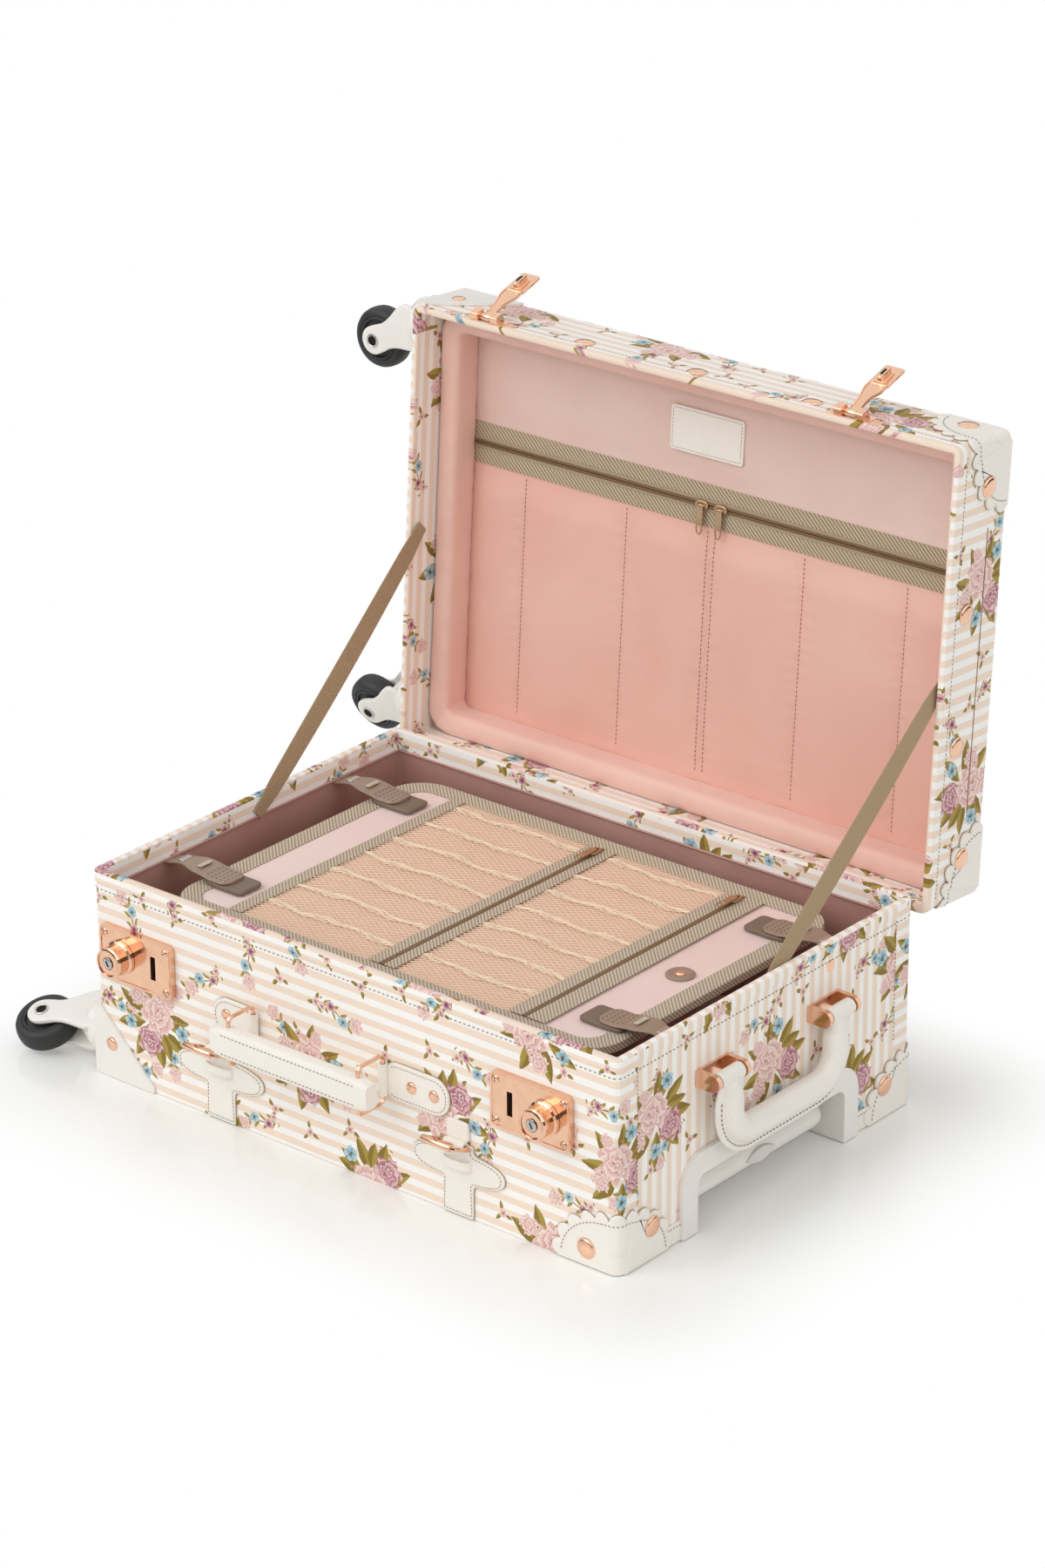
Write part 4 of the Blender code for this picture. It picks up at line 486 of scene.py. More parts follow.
def printed_cotton(name, half_x, half_y, top, swung):
    """Cotton twill, woven in 11 mm stripes and printed: matt, with the fine slant of the twill.

    The stripes run level on the long walls, which wrap 21 mm round the corners, and upright on the ends.
    """
    made, tree, place = new_tree(name)
    if swung:
        turn = np.array(Matrix.Rotation(OPEN_ANGLE, 3, "X"))
        place = add(tree, "Mapping", {"Vector": place, "Rotation": (OPEN_ANGLE, 0, 0),
                                      "Location": tuple(HINGE - turn @ HINGE)})
    x, y, z = (add(tree, "SeparateXYZ", {0: place}, k) for k in range(3))
    far_x = add(tree, "Math", {0: x}, operation="ABSOLUTE")
    far_y = add(tree, "Math", {0: y}, operation="ABSOLUTE")
    side = add(tree, "Math", {0: x}, operation="SIGN")
    rear = add(tree, "Math", {0: y, 1: 0.0}, operation="GREATER_THAN")
    on_end = add(tree, "Math", {0: far_y, 1: half_y - 0.021}, operation="LESS_THAN")
    on_panel = add(tree, "Math", {0: z, 1: top - 0.0006}, operation="GREATER_THAN")
    inner = add(tree, "Math", {0: far_x, 1: half_x - 2.6 * MM}, operation="LESS_THAN")
    outer_end = add(tree, "Math", {0: on_end, 1: inner}, operation="SUBTRACT")
    crosswise = add(tree, "Math", {0: outer_end, 1: on_panel}, operation="MAXIMUM")
    # The lid's cloth is laid 1.4 mm on, so that a peach stripe covers its rim.
    level = add(tree, "Math", {0: z, 1: 1.4 * MM if swung else 0.0}, operation="ADD")
    stripe_at = add(tree, "Mix", {0: crosswise, 2: level, 3: y})
    stripe = add(tree, "Math", {0: stripe_at, 1: 5.5 * MM}, operation="PINGPONG")
    stripe = add(tree, "MapRange", {0: stripe, 1: 2.6 * MM, 2: 2.9 * MM})
    slant = slanted(tree, place)
    # The twill's slant is drawn at 1.6 mm, a little coarser than the real 1.3 mm, to show at all.
    twill = add(tree, "Math", {0: slant, 1: 0.8 * MM}, operation="PINGPONG")
    hatch = add(tree, "MapRange", {0: twill, 1: 0.15 * MM, 2: 0.65 * MM})
    peach = add(tree, "Mix", {0: hatch, 6: linear("#FAEDE0"), 7: linear("#F2D6BE")}, 2, data_type="RGBA")
    ground = add(tree, "Mix", {0: stripe, 6: linear("#FDFAF6"), 7: peach}, 2, data_type="RGBA")
    round_in = add(tree, "Math", {0: far_x, 1: far_y}, operation="SUBTRACT")
    round_in = add(tree, "Math", {0: round_in, 1: half_y}, operation="ADD")
    long_u = add(tree, "Math", {0: rear, 1: 5.0}, operation="MULTIPLY")
    long_u = add(tree, "Math", {0: round_in, 1: side, 2: long_u}, operation="MULTIPLY_ADD")
    end_u = add(tree, "Math", {0: side, 1: 2.0, 2: y}, operation="MULTIPLY_ADD")
    u = add(tree, "Mix", {0: on_end, 2: long_u, 3: end_u})
    panel_u = add(tree, "Math", {0: x, 1: 11.0}, operation="ADD")
    u = add(tree, "Mix", {0: on_panel, 2: u, 3: panel_u})
    v = add(tree, "Mix", {0: on_panel, 2: z, 3: y})
    stir = add(tree, "TexNoise", {"Vector": place, "Scale": 90.0, "Detail": 2.0}, 1)
    stir_u = add(tree, "MapRange", {0: add(tree, "SeparateXYZ", {0: stir}, 0), 3: -1.8 * MM, 4: 1.8 * MM})
    stir_v = add(tree, "MapRange", {0: add(tree, "SeparateXYZ", {0: stir}, 1), 3: -1.8 * MM, 4: 1.8 * MM})
    u = add(tree, "Math", {0: u, 1: stir_u}, operation="ADD")
    v = add(tree, "Math", {0: v, 1: stir_v}, operation="ADD")
    ground = flowers(tree, ground, u, v)
    soft = add(tree, "TexNoise", {"Vector": place, "Scale": 14.0, "Detail": 3.0})
    soft = add(tree, "MapRange", {0: soft, 1: 0.3, 2: 0.7, 3: 0.97, 4: 1.0})
    colour = add(tree, "VectorMath", {0: ground, 3: soft}, operation="SCALE")
    return dressed(made, tree, colour, twill, 0.12, Roughness=0.85, Sheen_Weight=0.15,
                   Specular_IOR_Level=0.25)


def grained_leather(name, colour, dark):
    """Coated split leather: pebbled by its embossing, half matt, with painted shade in the hollows of the
    grain, stronger in patches.
    """
    made, tree, place = new_tree(name)
    pebble = add(tree, "TexVoronoi", {"Vector": place, "Scale": 1 / (1.5 * MM), "Smoothness": 0.6},
                 feature="SMOOTH_F1")
    broad = add(tree, "TexNoise", {"Vector": place, "Scale": 45.0, "Detail": 4.0})
    # Painted shade: the hollows between pebbles take the dark colour, more in some patches.
    patchy_hollow_shade = add(tree, "MapRange", {0: pebble, 1: 0.25, 2: 0.75, 3: 0.0, 4: 0.35})
    patchy_hollow_shade = add(tree, "Math", {0: broad, 1: patchy_hollow_shade}, operation="MULTIPLY")
    shade = add(tree, "Mix", {0: patchy_hollow_shade, 6: linear(colour), 7: linear(dark)}, 2, data_type="RGBA")
    rough = add(tree, "MapRange", {0: pebble, 3: 0.40, 4: 0.55})
    height = add(tree, "Math", {0: broad, 1: 1.2, 2: pebble}, operation="MULTIPLY_ADD")
    return dressed(made, tree, shade, height, -0.16 * MM, rough, Specular_IOR_Level=0.4)


def plated_metal(name, colour, rough_low, rough_high):
    """Polished metal, plated or bare: a clear mirror with a faint drag of the polishing wheel."""
    made, tree, place = new_tree(name)
    drag = add(tree, "Mapping", {"Vector": place, "Scale": (220.0, 220.0, 1800.0)})
    lines = add(tree, "TexNoise", {"Vector": drag, "Scale": 1.0, "Detail": 2.0})
    blotch = add(tree, "TexNoise", {"Vector": place, "Scale": 120.0, "Detail": 3.0})
    rough = add(tree, "MapRange", {0: blotch, 1: 0.3, 2: 0.7, 3: rough_low, 4: rough_high})
    dull = add(tree, "VectorMath", {0: linear(colour)[:3], 1: (0.86, 0.82, 0.80)}, operation="MULTIPLY")
    tone = add(tree, "Mix", {0: blotch, 6: linear(colour), 7: dull}, 2, data_type="RGBA")
    return dressed(made, tree, tone, lines, 0.01 * MM, rough, Metallic=1.0)


def moulded(name, colour, rough, grit_mm, depth_mm):
    """Injection-moulded plastic or rubber: the fine even texture of a spark-worked mould."""
    made, tree, place = new_tree(name)
    grit = add(tree, "TexNoise", {"Vector": place, "Scale": 1 / (grit_mm * MM), "Detail": 2.0})
    broad = add(tree, "TexNoise", {"Vector": place, "Scale": 30.0, "Detail": 2.0})
    dull = add(tree, "VectorMath", {0: linear(colour)[:3], 1: (0.9, 0.9, 0.9)}, operation="MULTIPLY")
    tone = add(tree, "Mix", {0: broad, 6: linear(colour), 7: dull}, 2, data_type="RGBA")
    shine = add(tree, "MapRange", {0: grit, 3: rough - 0.08, 4: rough + 0.08})
    return dressed(made, tree, tone, grit, depth_mm * MM, shine)


def woven_satin(name, colour, shade, thread_mm, sheen, shade_layer=None):
    """Polyester satin: long floating threads that shine across the weave, with soft cloudy creases and
    painted shade in their hollows.

    The last argument (colour, from x, to x) is painted shadow of the nets: the cloth between the two x values
    takes that deeper colour.
    """
    made, tree, place = new_tree(name)
    x, y, z = (add(tree, "SeparateXYZ", {0: place}, k) for k in range(3))
    # Threads are drawn at 0.8 mm or more, coarser than real ones, so that they show.
    warp = add(tree, "Math", {0: x, 1: thread_mm * MM / 2}, operation="PINGPONG")
    rise = add(tree, "Math", {0: add(tree, "Math", {0: y, 1: z}, operation="ADD"), 1: thread_mm * MM / 2},
               operation="PINGPONG")
    weave = add(tree, "Math", {0: warp, 1: rise}, operation="ADD")
    cloud = add(tree, "TexNoise", {"Vector": place, "Scale": 9.0, "Detail": 3.0, "Distortion": 0.4})
    fold = add(tree, "MapRange", {0: cloud, 1: 0.30, 2: 0.70})
    # Painted shade: where the cloud noise sinks into a crease, the cloth takes the shade colour.
    tone = add(tree, "Mix", {0: fold, 6: linear(shade), 7: linear(colour)}, 2, data_type="RGBA")
    # Painted shadow of the nets: between the two x values the cloth takes the given deeper colour.
    if shade_layer:
        past = add(tree, "Math", {0: x, 1: shade_layer[1]}, operation="GREATER_THAN")
        short = add(tree, "Math", {0: x, 1: shade_layer[2]}, operation="LESS_THAN")
        stitch_row_and_net_shade = add(tree, "Math", {0: past, 1: short}, operation="MULTIPLY")
        tone = add(tree, "Mix", {0: stitch_row_and_net_shade, 6: tone, 7: linear(shade_layer[0])}, 2, data_type="RGBA")
    height = add(tree, "Math", {0: cloud, 1: 1.2 * MM, 2: weave}, operation="MULTIPLY_ADD")
    return dressed(made, tree, tone, height, 0.2, Roughness=0.42, Sheen_Weight=sheen, Sheen_Roughness=0.35)


def ribbed_tape(name, colour, shade, rib_mm):
    """Woven polyester tape: rope-like ribs that all slant one way, with painted shade in the furrows."""
    made, tree, place = new_tree(name)
    slant = slanted(tree, place)
    rib = add(tree, "Math", {0: slant, 1: rib_mm * MM / 2}, operation="PINGPONG")
    rib = add(tree, "MapRange", {0: rib, 1: 0.02 * rib_mm * MM, 2: 0.34 * rib_mm * MM})
    fuzz = add(tree, "TexNoise", {"Vector": place, "Scale": 900.0, "Detail": 2.0})
    # Painted shade: the furrows between ribs take the shade colour.
    tone = add(tree, "Mix", {0: rib, 6: linear(shade), 7: linear(colour)}, 2, data_type="RGBA")
    height = add(tree, "Math", {0: fuzz, 1: 0.3, 2: rib}, operation="MULTIPLY_ADD")
    return dressed(made, tree, tone, height, 0.3 * MM, Roughness=0.75, Sheen_Weight=0.2)


def spun_thread(name, colour, shade):
    """Polyester sewing thread: two plies, seen as a fine slanting twist, with painted shade in the groove
    between them.
    """
    made, tree, place = new_tree(name)
    slant = slanted(tree, place)
    twist = add(tree, "Math", {0: slant, 1: 0.35 * MM}, operation="PINGPONG")
    share = add(tree, "MapRange", {0: twist, 1: 0.0, 2: 0.35 * MM})
    # Painted shade in the groove of the twist.
    tone = add(tree, "Mix", {0: share, 6: linear(shade), 7: linear(colour)}, 2, data_type="RGBA")
    return dressed(made, tree, tone, twist, 0.4, Roughness=0.65, Sheen_Weight=0.2)


tray_cloth = printed_cotton("printed_striped_cotton_tray", BASE_END, BASE_SIDE, BASE_TOP, False)
lid_cloth = printed_cotton("printed_striped_cotton_lid", LID_END, LID_SIDE, LID_TOP, True)
leather = grained_leather("off_white_coated_leather", "#F5F0E7", "#E0D9CD")
# Tan rim round the leather: painted shade that stands in for the shaded cut edge.
edge_shade = moulded("tan_painted_leather_edge_shade", "#B9A78C", 0.6, 0.8, 0.02)
copper = plated_metal("rose_gold_plated_zinc", "#F5C9AB", 0.12, 0.24)
steel = plated_metal("nickel_plated_steel", "#C9C6C2", 0.20, 0.36)
# Blackened steel of the caster bolts, and painted shade: the dark bars and plates in the lock's slots,
# keyways and screw slots.
black_steel_and_slot_shade = plated_metal("blackened_steel_and_painted_slot_shade", "#2E2B29", 0.35, 0.5)
aluminium = plated_metal("anodised_aluminium", "#D6D6D8", 0.25, 0.38)
white_abs = moulded("white_moulded_abs", "#F5F1EB", 0.38, 0.9, 0.02)
grey_abs = moulded("grey_moulded_abs", "#E3DFD9", 0.45, 0.9, 0.02)
tyre_rubber = moulded("black_moulded_rubber", "#272727", 0.55, 0.8, 0.03)
pink_satin = woven_satin("pink_polyester_satin", "#F3C3B3", "#EDB8A7", 0.9, 0.4)
# Painted light: the roll is the same satin as the pocket, made lighter and paler because its lower face is
# lit more.
lit_pink_satin = woven_satin("pink_satin_painted_lighter", "#F7CFC2", "#F1C3B5", 0.9, 0.4)
mauve_satin = woven_satin("mauve_polyester_satin", "#F0D3C8", "#E9C8BC", 0.9, 0.3)
lining_satin = woven_satin("mauve_lining_satin", "#C89B8F", "#B5857A", 0.9, 0.25)
# The board behind the nets gets painted shadow: a deeper pink between x -0.150 and 0.124.
board_cloth = woven_satin("pale_pink_board_cloth", "#F9E3DD", "#F5D9D2", 1.0, 0.2,
                          ("#EDCBB5", -0.150, 0.124))
net_nylon = moulded("peach_nylon_net", "#F8DFC0", 0.5, 0.8, 0.02)
gather_nylon = moulded("cream_gathered_nylon", "#F8E2C6", 0.5, 0.8, 0.02)
tape_long = ribbed_tape("taupe_ribbed_tape_lid", "#C8B69A", "#7C684E", 4.0)
tape_deep = ribbed_tape("taupe_ribbed_tape_board", "#CFC0A9", "#8E7B64", 3.6)
webbing = ribbed_tape("tan_polyester_webbing", "#BDA27E", "#997F5D", 1.8)
plain_tape = ribbed_tape("taupe_plain_zip_tape", "#BFA988", "#AE9877", 1.0)
bronze = plated_metal("bronze_plated_zinc", "#C2A684", 0.30, 0.45)
brown_coil = moulded("brown_nylon_coil", "#7B5E3E", 0.4, 0.8, 0.02)
taupe_nylon = moulded("taupe_moulded_nylon", "#9F8774", 0.42, 0.8, 0.02)
dark_taupe = moulded("dark_taupe_moulded_nylon", "#7C6A5A", 0.5, 0.8, 0.02)
pale_elastic = ribbed_tape("cream_elastic", "#DCD0B8", "#C4B595", 1.4)
brown_thread = spun_thread("brown_sewing_thread", "#A07F58", "#7A5A38")
pale_thread = spun_thread("pale_sewing_thread", "#A8946F", "#86704E")
rose_thread = spun_thread("rose_sewing_thread", "#B97C6A", "#9C5D4C")


def twins(ends, *stems):
    """Names of the solids that come in twos: each stem with each ending."""
    return [f"{stem}_{end}" for stem in stems for end in ends]


SIDES, ENDS = ("left", "right"), ("front", "rear")
CASTERS = ("base_caster", "lid_caster")
NODE_FINISH = {
    tray_cloth: ["base_shell"],
    lid_cloth: ["lid_shell"],
    leather: twins(ENDS, "base_guard", "lid_guard") + twins(SIDES, "handle_tab", "belt")
    + ["front_handle", "end_handle"],
    copper: twins(SIDES, "lock_plate", "lock_knob", "hasp", "hasp_plate", "handle_ring", "buckle")
    + twins(ENDS, "end_handle_bracket") + ["hinge_base_leaf", "hinge_lid_leaf"],
    bronze: twins(SIDES, "lid_zip_slider"),
    white_abs: twins(ENDS, "base_wheel_housing", "lid_wheel_housing")
    + twins(("front_fork", "rear_fork"), *CASTERS) + ["trolley_housing", "trolley_grip"],
    grey_abs: ["trolley_guide", "trolley_button"],
    aluminium: ["trolley_tubes"],
    tyre_rubber: twins(("front_wheel", "rear_wheel"), *CASTERS),
    pink_satin: ["lid_padded_roll", "lid_pocket_panel"],
    board_cloth: ["divider_board"],
    net_nylon: twins(SIDES, "net_pocket"),
    taupe_nylon: twins(("middle", "right"), "net_zip_slider")
    + twins(ENDS, "divider_clip_left", "divider_clip_right"),
    webbing: twins(SIDES, "lid_stay"),
}
for node_finish, node_names in NODE_FINISH.items():
    for node_name in node_names:
        node_mesh = frame["nodes"][node_name].data
        node_mesh.materials.clear()
        node_mesh.materials.append(node_finish)


# Rims and linings.

BASE_LOOP = rounded_loop(BASE_END, BASE_SIDE, SHELL_CORNER)
LID_LOOP = rounded_loop(LID_END, LID_SIDE, SHELL_CORNER)
TIGHT = 0.2 * MM
# A binding's section is (outward, level): along its outer leaf, over the rim and along its inner leaf.
base_binding = np.array((
    (TIGHT, 0.1588), (0.0009, 0.1592), (0.0010, 0.1655), (0.0004, 0.1676), (-0.0008, 0.1684),
    (-0.0042, 0.1684), (-0.0054, 0.1676), (-0.0060, 0.1655), (-0.0060, 0.1520), (-0.0052, 0.1516),
    (-0.0052, 0.1668), (-0.0048, 0.1672), (-TIGHT, 0.1672), (TIGHT, 0.1668),
))
piece("tray_rim_binding", hoop(BASE_LOOP, base_binding), tray_cloth, "tray")
lid_binding = np.array((
    (TIGHT, 0.1550), (0.0009, 0.1546), (0.0010, 0.1476), (0.0004, 0.1456), (-0.0008, 0.1450),
    (-0.0032, 0.1450), (-0.0042, 0.1456), (-0.0046, 0.1476), (-0.0046, 0.1545), (-0.0042, 0.1549),
    (-0.0042, 0.1462), (-0.0038, 0.1458), (-TIGHT, 0.1458), (TIGHT, 0.1462),
))


def by_hinge(points):
    """True for points along the hinge: on the rear wall and away from its corners."""
    return (points[:, 1] > 0.17) & (np.abs(points[:, 0]) < 0.2)


# Along the hinge the lid's binding is drawn in and stays above the leaf.
LEAF_TOP = 0.1463
lid_rim, lid_rim_faces = hoop(LID_LOOP, lid_binding, np.where(by_hinge(LID_LOOP[0]), 0.25, 1.0))
lid_rim[:, 2] = np.where(by_hinge(lid_rim), np.maximum(lid_rim[:, 2], LEAF_TOP), lid_rim[:, 2])
piece("lid_rim_binding", lifted((lid_rim, lid_rim_faces)), lid_cloth, "lid")

LINING_FOOT, LINING_RIM, FLOOR_END = 0.0365, 0.1512, 0.2425
BOX_HALF, BOX_CORE, BOX_TOP = 0.118, 0.106, 0.078


def over_box(y):
    """1 across the trolley box, 0 beside it and smooth between."""
    return smooth(np.abs(y), BOX_HALF, BOX_CORE)


def lining_walls():
    """Cloth round the tray's inside: the inner wall line moved in by slow waves and past the box."""
    inset = BASE_WALL + 1.2 * MM
    points, normals = rounded_loop(BASE_END - inset, BASE_SIDE - inset, 3 * MM, 60, 4)
    run = np.concatenate(([0], np.cumsum(np.linalg.norm(np.diff(points, axis=0), axis=1))))[:, None]
    level = np.linspace(LINING_FOOT, LINING_RIM, 26)[None]
    wave = 0.5 + 0.5 * np.sin(run / 0.017 + 1.3 * np.sin(run / 0.061) + 14 * level)
    bulge = np.sin(np.pi * (level - LINING_FOOT) / (LINING_RIM - LINING_FOOT))
    box = over_box(points[:, 1:]) * (points[:, :1] > 0.2) * smooth(level, BOX_TOP, BOX_TOP - 0.011)
    inward = 1.1 * MM * wave * bulge + 0.031 * box
    flat = points[:, None] - inward[..., None] * normals[:, None]
    return shaped(np.concatenate((flat, np.broadcast_to(level, inward.shape)[..., None]), -1), True)


def lining_floor():
    """Cloth on the false floor: a grid that stops short of the trolley box, with shallow slack waves."""
    across = np.linspace(-1, 1, 41)[None] * (BASE_SIDE - BASE_WALL - 2 * MM)
    stop = FLOOR_END - 0.0315 * over_box(across)
    along = -FLOOR_END + np.linspace(0, 1, 61)[:, None] * (stop + FLOOR_END)
    level = LINING_FOOT + 0.3 * MM + 0.4 * MM * (1 + np.sin(along / 0.021 + 2 * np.sin(across / 0.05)))
    return shaped(np.stack((along, np.broadcast_to(across, along.shape), level), -1))


walls = piece("tray_lining_walls", lining_walls(), lining_satin, "tray", sheet=True)
floor_cloth = piece("tray_lining_floor", lining_floor(), lining_satin, "tray", sheet=True)
hem = oval(1.0 * MM, 1.0 * MM, steps=12) + (-0.0068, 0.1516)
piece("tray_lining_hem", hoop(BASE_LOOP, hem), lining_satin, "tray")


# Divider: bound board, tapes, nets, zips, clips and a snap.

board_binding = np.array((
    (-0.0155, 0.1463), (-0.0155, 0.1468), (-0.0148, 0.1471), (0.0003, 0.1471), (0.0009, 0.1465),
    (0.0009, 0.1405), (0.0003, 0.1405), (0.0003, 0.1463),
))
board_loop = rounded_loop(BOARD_END, BOARD_SIDE, BOARD_CORNER, 30, 12)
piece("divider_edge_tape", hoop(board_loop, board_binding), tape_deep, "divider")


BOARD_FACE, TAPE_FACE, NET_FOOT, COIL_FOOT, SLIDER_FOOT = 0.1471, 0.1476, 0.1467, 0.1475, 0.1489
TAPE_REACH, COIL_GAP = 0.1275, 2.4 * MM
STRAND_PITCH, KNOT_STEP, GATHER_PITCH = 3.7 * MM, 2.1 * MM, 0.0355


def tape(low, high, top, thickness=0.6):
    """Flat strip along the board between two places on its length, with rounded long edges."""
    return slab((high - low) / 2 / MM, TAPE_REACH / MM, 0.5, thickness, 0.2, ((low + high) / 2, 0, top))


tapes = [tape(-0.154, -0.1425, BOARD_FACE, 1.0)]
for zip_x, left, right in ((ZIP_MIDDLE, 0.0125, 0.0125), (ZIP_RIGHT, 0.0145, 0.0185)):
    tapes.append(tape(zip_x - left, zip_x - COIL_GAP, TAPE_FACE))
    tapes.append(tape(zip_x + COIL_GAP, zip_x + right, TAPE_FACE))
piece("divider_zip_tapes", joined(*tapes), tape_deep, "divider")


def coil(start, stop, across, out, half_wide=2.3 * MM, height=1.3 * MM, pitch=1.7 * MM):
    """Zip teeth: a low vault along a line, its height and width swelling at each tooth."""
    start, stop = np.asarray(start, float), np.asarray(stop, float)
    length = np.linalg.norm(stop - start)
    share = np.linspace(0, 1, int(length / pitch) * 4)
    tooth = 0.62 + 0.38 * np.abs(np.sin(np.pi * share * length / pitch))
    angle = np.linspace(0, np.pi, 7)
    vault = np.stack((np.cos(angle), np.sin(angle)), -1) * (half_wide, height)
    section = vault[None] * np.stack((0.85 + 0.15 * tooth, tooth), -1)[:, None]
    return sweep(start + share[:, None] * (stop - start), section, across, out)


coils = [coil((zip_x, -TAPE_REACH, COIL_FOOT), (zip_x, TAPE_REACH, COIL_FOOT), (1, 0, 0), (0, 0, 1))
         for zip_x in (ZIP_MIDDLE, ZIP_RIGHT)]
piece("divider_zip_teeth", joined(*coils), brown_coil, "divider")


def net_rise(x, y, low, high):
    """Height of a slack net: zero at its sewn edges, swelling inside, drawn in at each gathering line."""
    (x0, y0), (x1, y1) = low, high
    share_x, share_y = np.clip((x - x0) / (x1 - x0), 0, 1), np.clip((y - y0) / (y1 - y0), 0, 1)
    swell = (np.sin(np.pi * share_x) * np.sin(np.pi * share_y)) ** 0.5
    gather = np.abs(np.sin(np.pi * (y - y0) / GATHER_PITCH + 0.35 * np.sin(x / 0.011)))
    return swell * (0.9 * MM + 1.7 * MM * gather)


def net(low, high, base):
    """Knotted net: strands along Y that step left and right by turns and meet at every second step."""
    (x0, y0), (x1, y1) = low, high
    count = int((x1 - x0) / STRAND_PITCH)
    pitch = (x1 - x0) / count
    y = np.linspace(y0, y1, int((y1 - y0) / KNOT_STEP))
    turn = np.where((np.arange(count)[:, None] + np.arange(len(y))) % 2, 1, -1)
    x = x0 + pitch * (np.arange(count)[:, None] + 0.5) + turn * 0.47 * pitch
    y = np.broadcast_to(y, x.shape)
    paths = np.stack((x, y, base + net_rise(x, y, low, high)), -1)
    section = np.array(((-0.5, 0), (0, -0.22), (0.5, 0), (0, 0.22))) * MM
    return joined(*[sweep(path, section, (1, 0, 0), (0, 0, 1)) for path in paths])


def net_gathers(low, high, base):
    """Gathered bands of the net: five strands side by side that wander across it, a gather's pitch apart."""
    (x0, y0), (x1, y1) = low, high
    x = np.linspace(x0 + 1 * MM, x1 - 1 * MM, 80)
    bands = []
    for index, line in enumerate(np.arange(y0 + 0.0300, y1 - 0.01, GATHER_PITCH)):
        y = line + 1.9 * MM * np.sin(x / 0.0135 + 2.1 * index) + 0.9 * MM * np.sin(x / 0.0052 + index)
        path = np.stack((x, y, base + 0.35 * MM + net_rise(x, y, low, high)), -1)
        for strand in range(-2, 3):
            aside = strand * (1.15 * MM + 0.5 * MM * np.sin(x / 0.008 + 3 * index))
            aside = aside + 0.4 * MM * np.sin(x / 0.003 + 2 * strand)
            across = path + np.stack((0 * x, aside, -0.12 * MM * strand ** 2 + 0 * x), -1)
            bands.append(sweep(across, oval(0.5 * MM, 0.28 * MM, steps=6), (0, 1, 0), (0, 0, 1)))
    return joined(*bands)


for label, left, right in (("left", -0.150, -0.0085), ("right", 0.0005, 0.1225)):
    corners = (left, -TAPE_REACH), (right, TAPE_REACH)
    made = piece(f"divider_net_{label}", net(*corners, NET_FOOT), net_nylon, "divider",
                 (f"net_pocket_{label}",))
    gathers = net_gathers(*corners, NET_FOOT)
    piece(f"divider_net_{label}_gathers", gathers, gather_nylon, "divider")


def zip_slider(name, centre, along, pull_along, up, body):
    """Zip slider: a waisted body plate, a bridge bent over it, a flat pull and a wire loop at its end."""
    angle = np.linspace(0, 2 * np.pi, 24, endpoint=False)
    waist = np.stack((6.0 * np.cos(angle), (3.9 + 0.5 * np.cos(2 * angle)) * np.sin(angle)), -1) * MM
    rise = np.linspace(0, np.pi, 12)
    arch = np.stack((3.6 * MM * np.cos(rise), 0 * rise, 1.8 * MM + 1.9 * MM * np.sin(rise)), -1)
    spoke = np.stack((np.cos(rise), 0 * rise, np.sin(rise)), -1)
    bridge = sweep(arch, oval(1.0 * MM, 0.45 * MM, steps=8), (0, 1, 0), spoke)
    base = copies(joined(plate(waist, 2.0 * MM, 0.5 * MM), bridge), centre, frame_of(up, along))
    tag = slab(7.6, 2.9, 1.2, 1.1, 0.3, (0, 0, 0))
    long, wide = 5.2, 2.6
    ring = np.stack((9.3 + long * np.cos(angle), wide * np.sin(angle), np.full(24, 0.6)), -1) * MM
    outward = unit(np.stack((np.cos(angle) / long, np.sin(angle) / wide, 0 * angle), -1))
    loop = sweep(ring, oval(0.55 * MM, 0.55 * MM, steps=8), outward, (0, 0, 1), True)
    lift = np.asarray(centre) + 2.7 * MM * np.asarray(up) + 8.2 * MM * np.asarray(pull_along)
    pull = copies(joined(tag, loop), lift, frame_of(up, pull_along))
    piece(name, joined(base, pull), bronze, body, (body,))


for label, zip_x in (("middle", ZIP_MIDDLE), ("right", ZIP_RIGHT)):
    node = f"net_zip_slider_{label}"
    seat = (zip_x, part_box(node)[1].y - 6 * MM, SLIDER_FOOT)
    zip_slider(f"net_zip_pull_{label}", seat, (0, 1, 0), (0, -1, 0), (0, 0, 1), node)


# Lid inside: padded roll, pocket, zip and blank label.

POCKET_SEAMS = np.array((-0.2375, -0.182, -0.082, 0.0, 0.0875, 0.182, 0.2375))
POCKET_SIDE, POCKET_LEVEL = 0.1600, 0.2010
BAND_TOP, BAND_FOOT = -0.0805, -0.0475
STRIP_LEVEL, LID_COIL_LEVEL, LID_SLIDER_LEVEL = 0.2006, 0.2003, 0.1992
STRIP_HALF_MM, LID_COIL_END = 234.2, 0.234


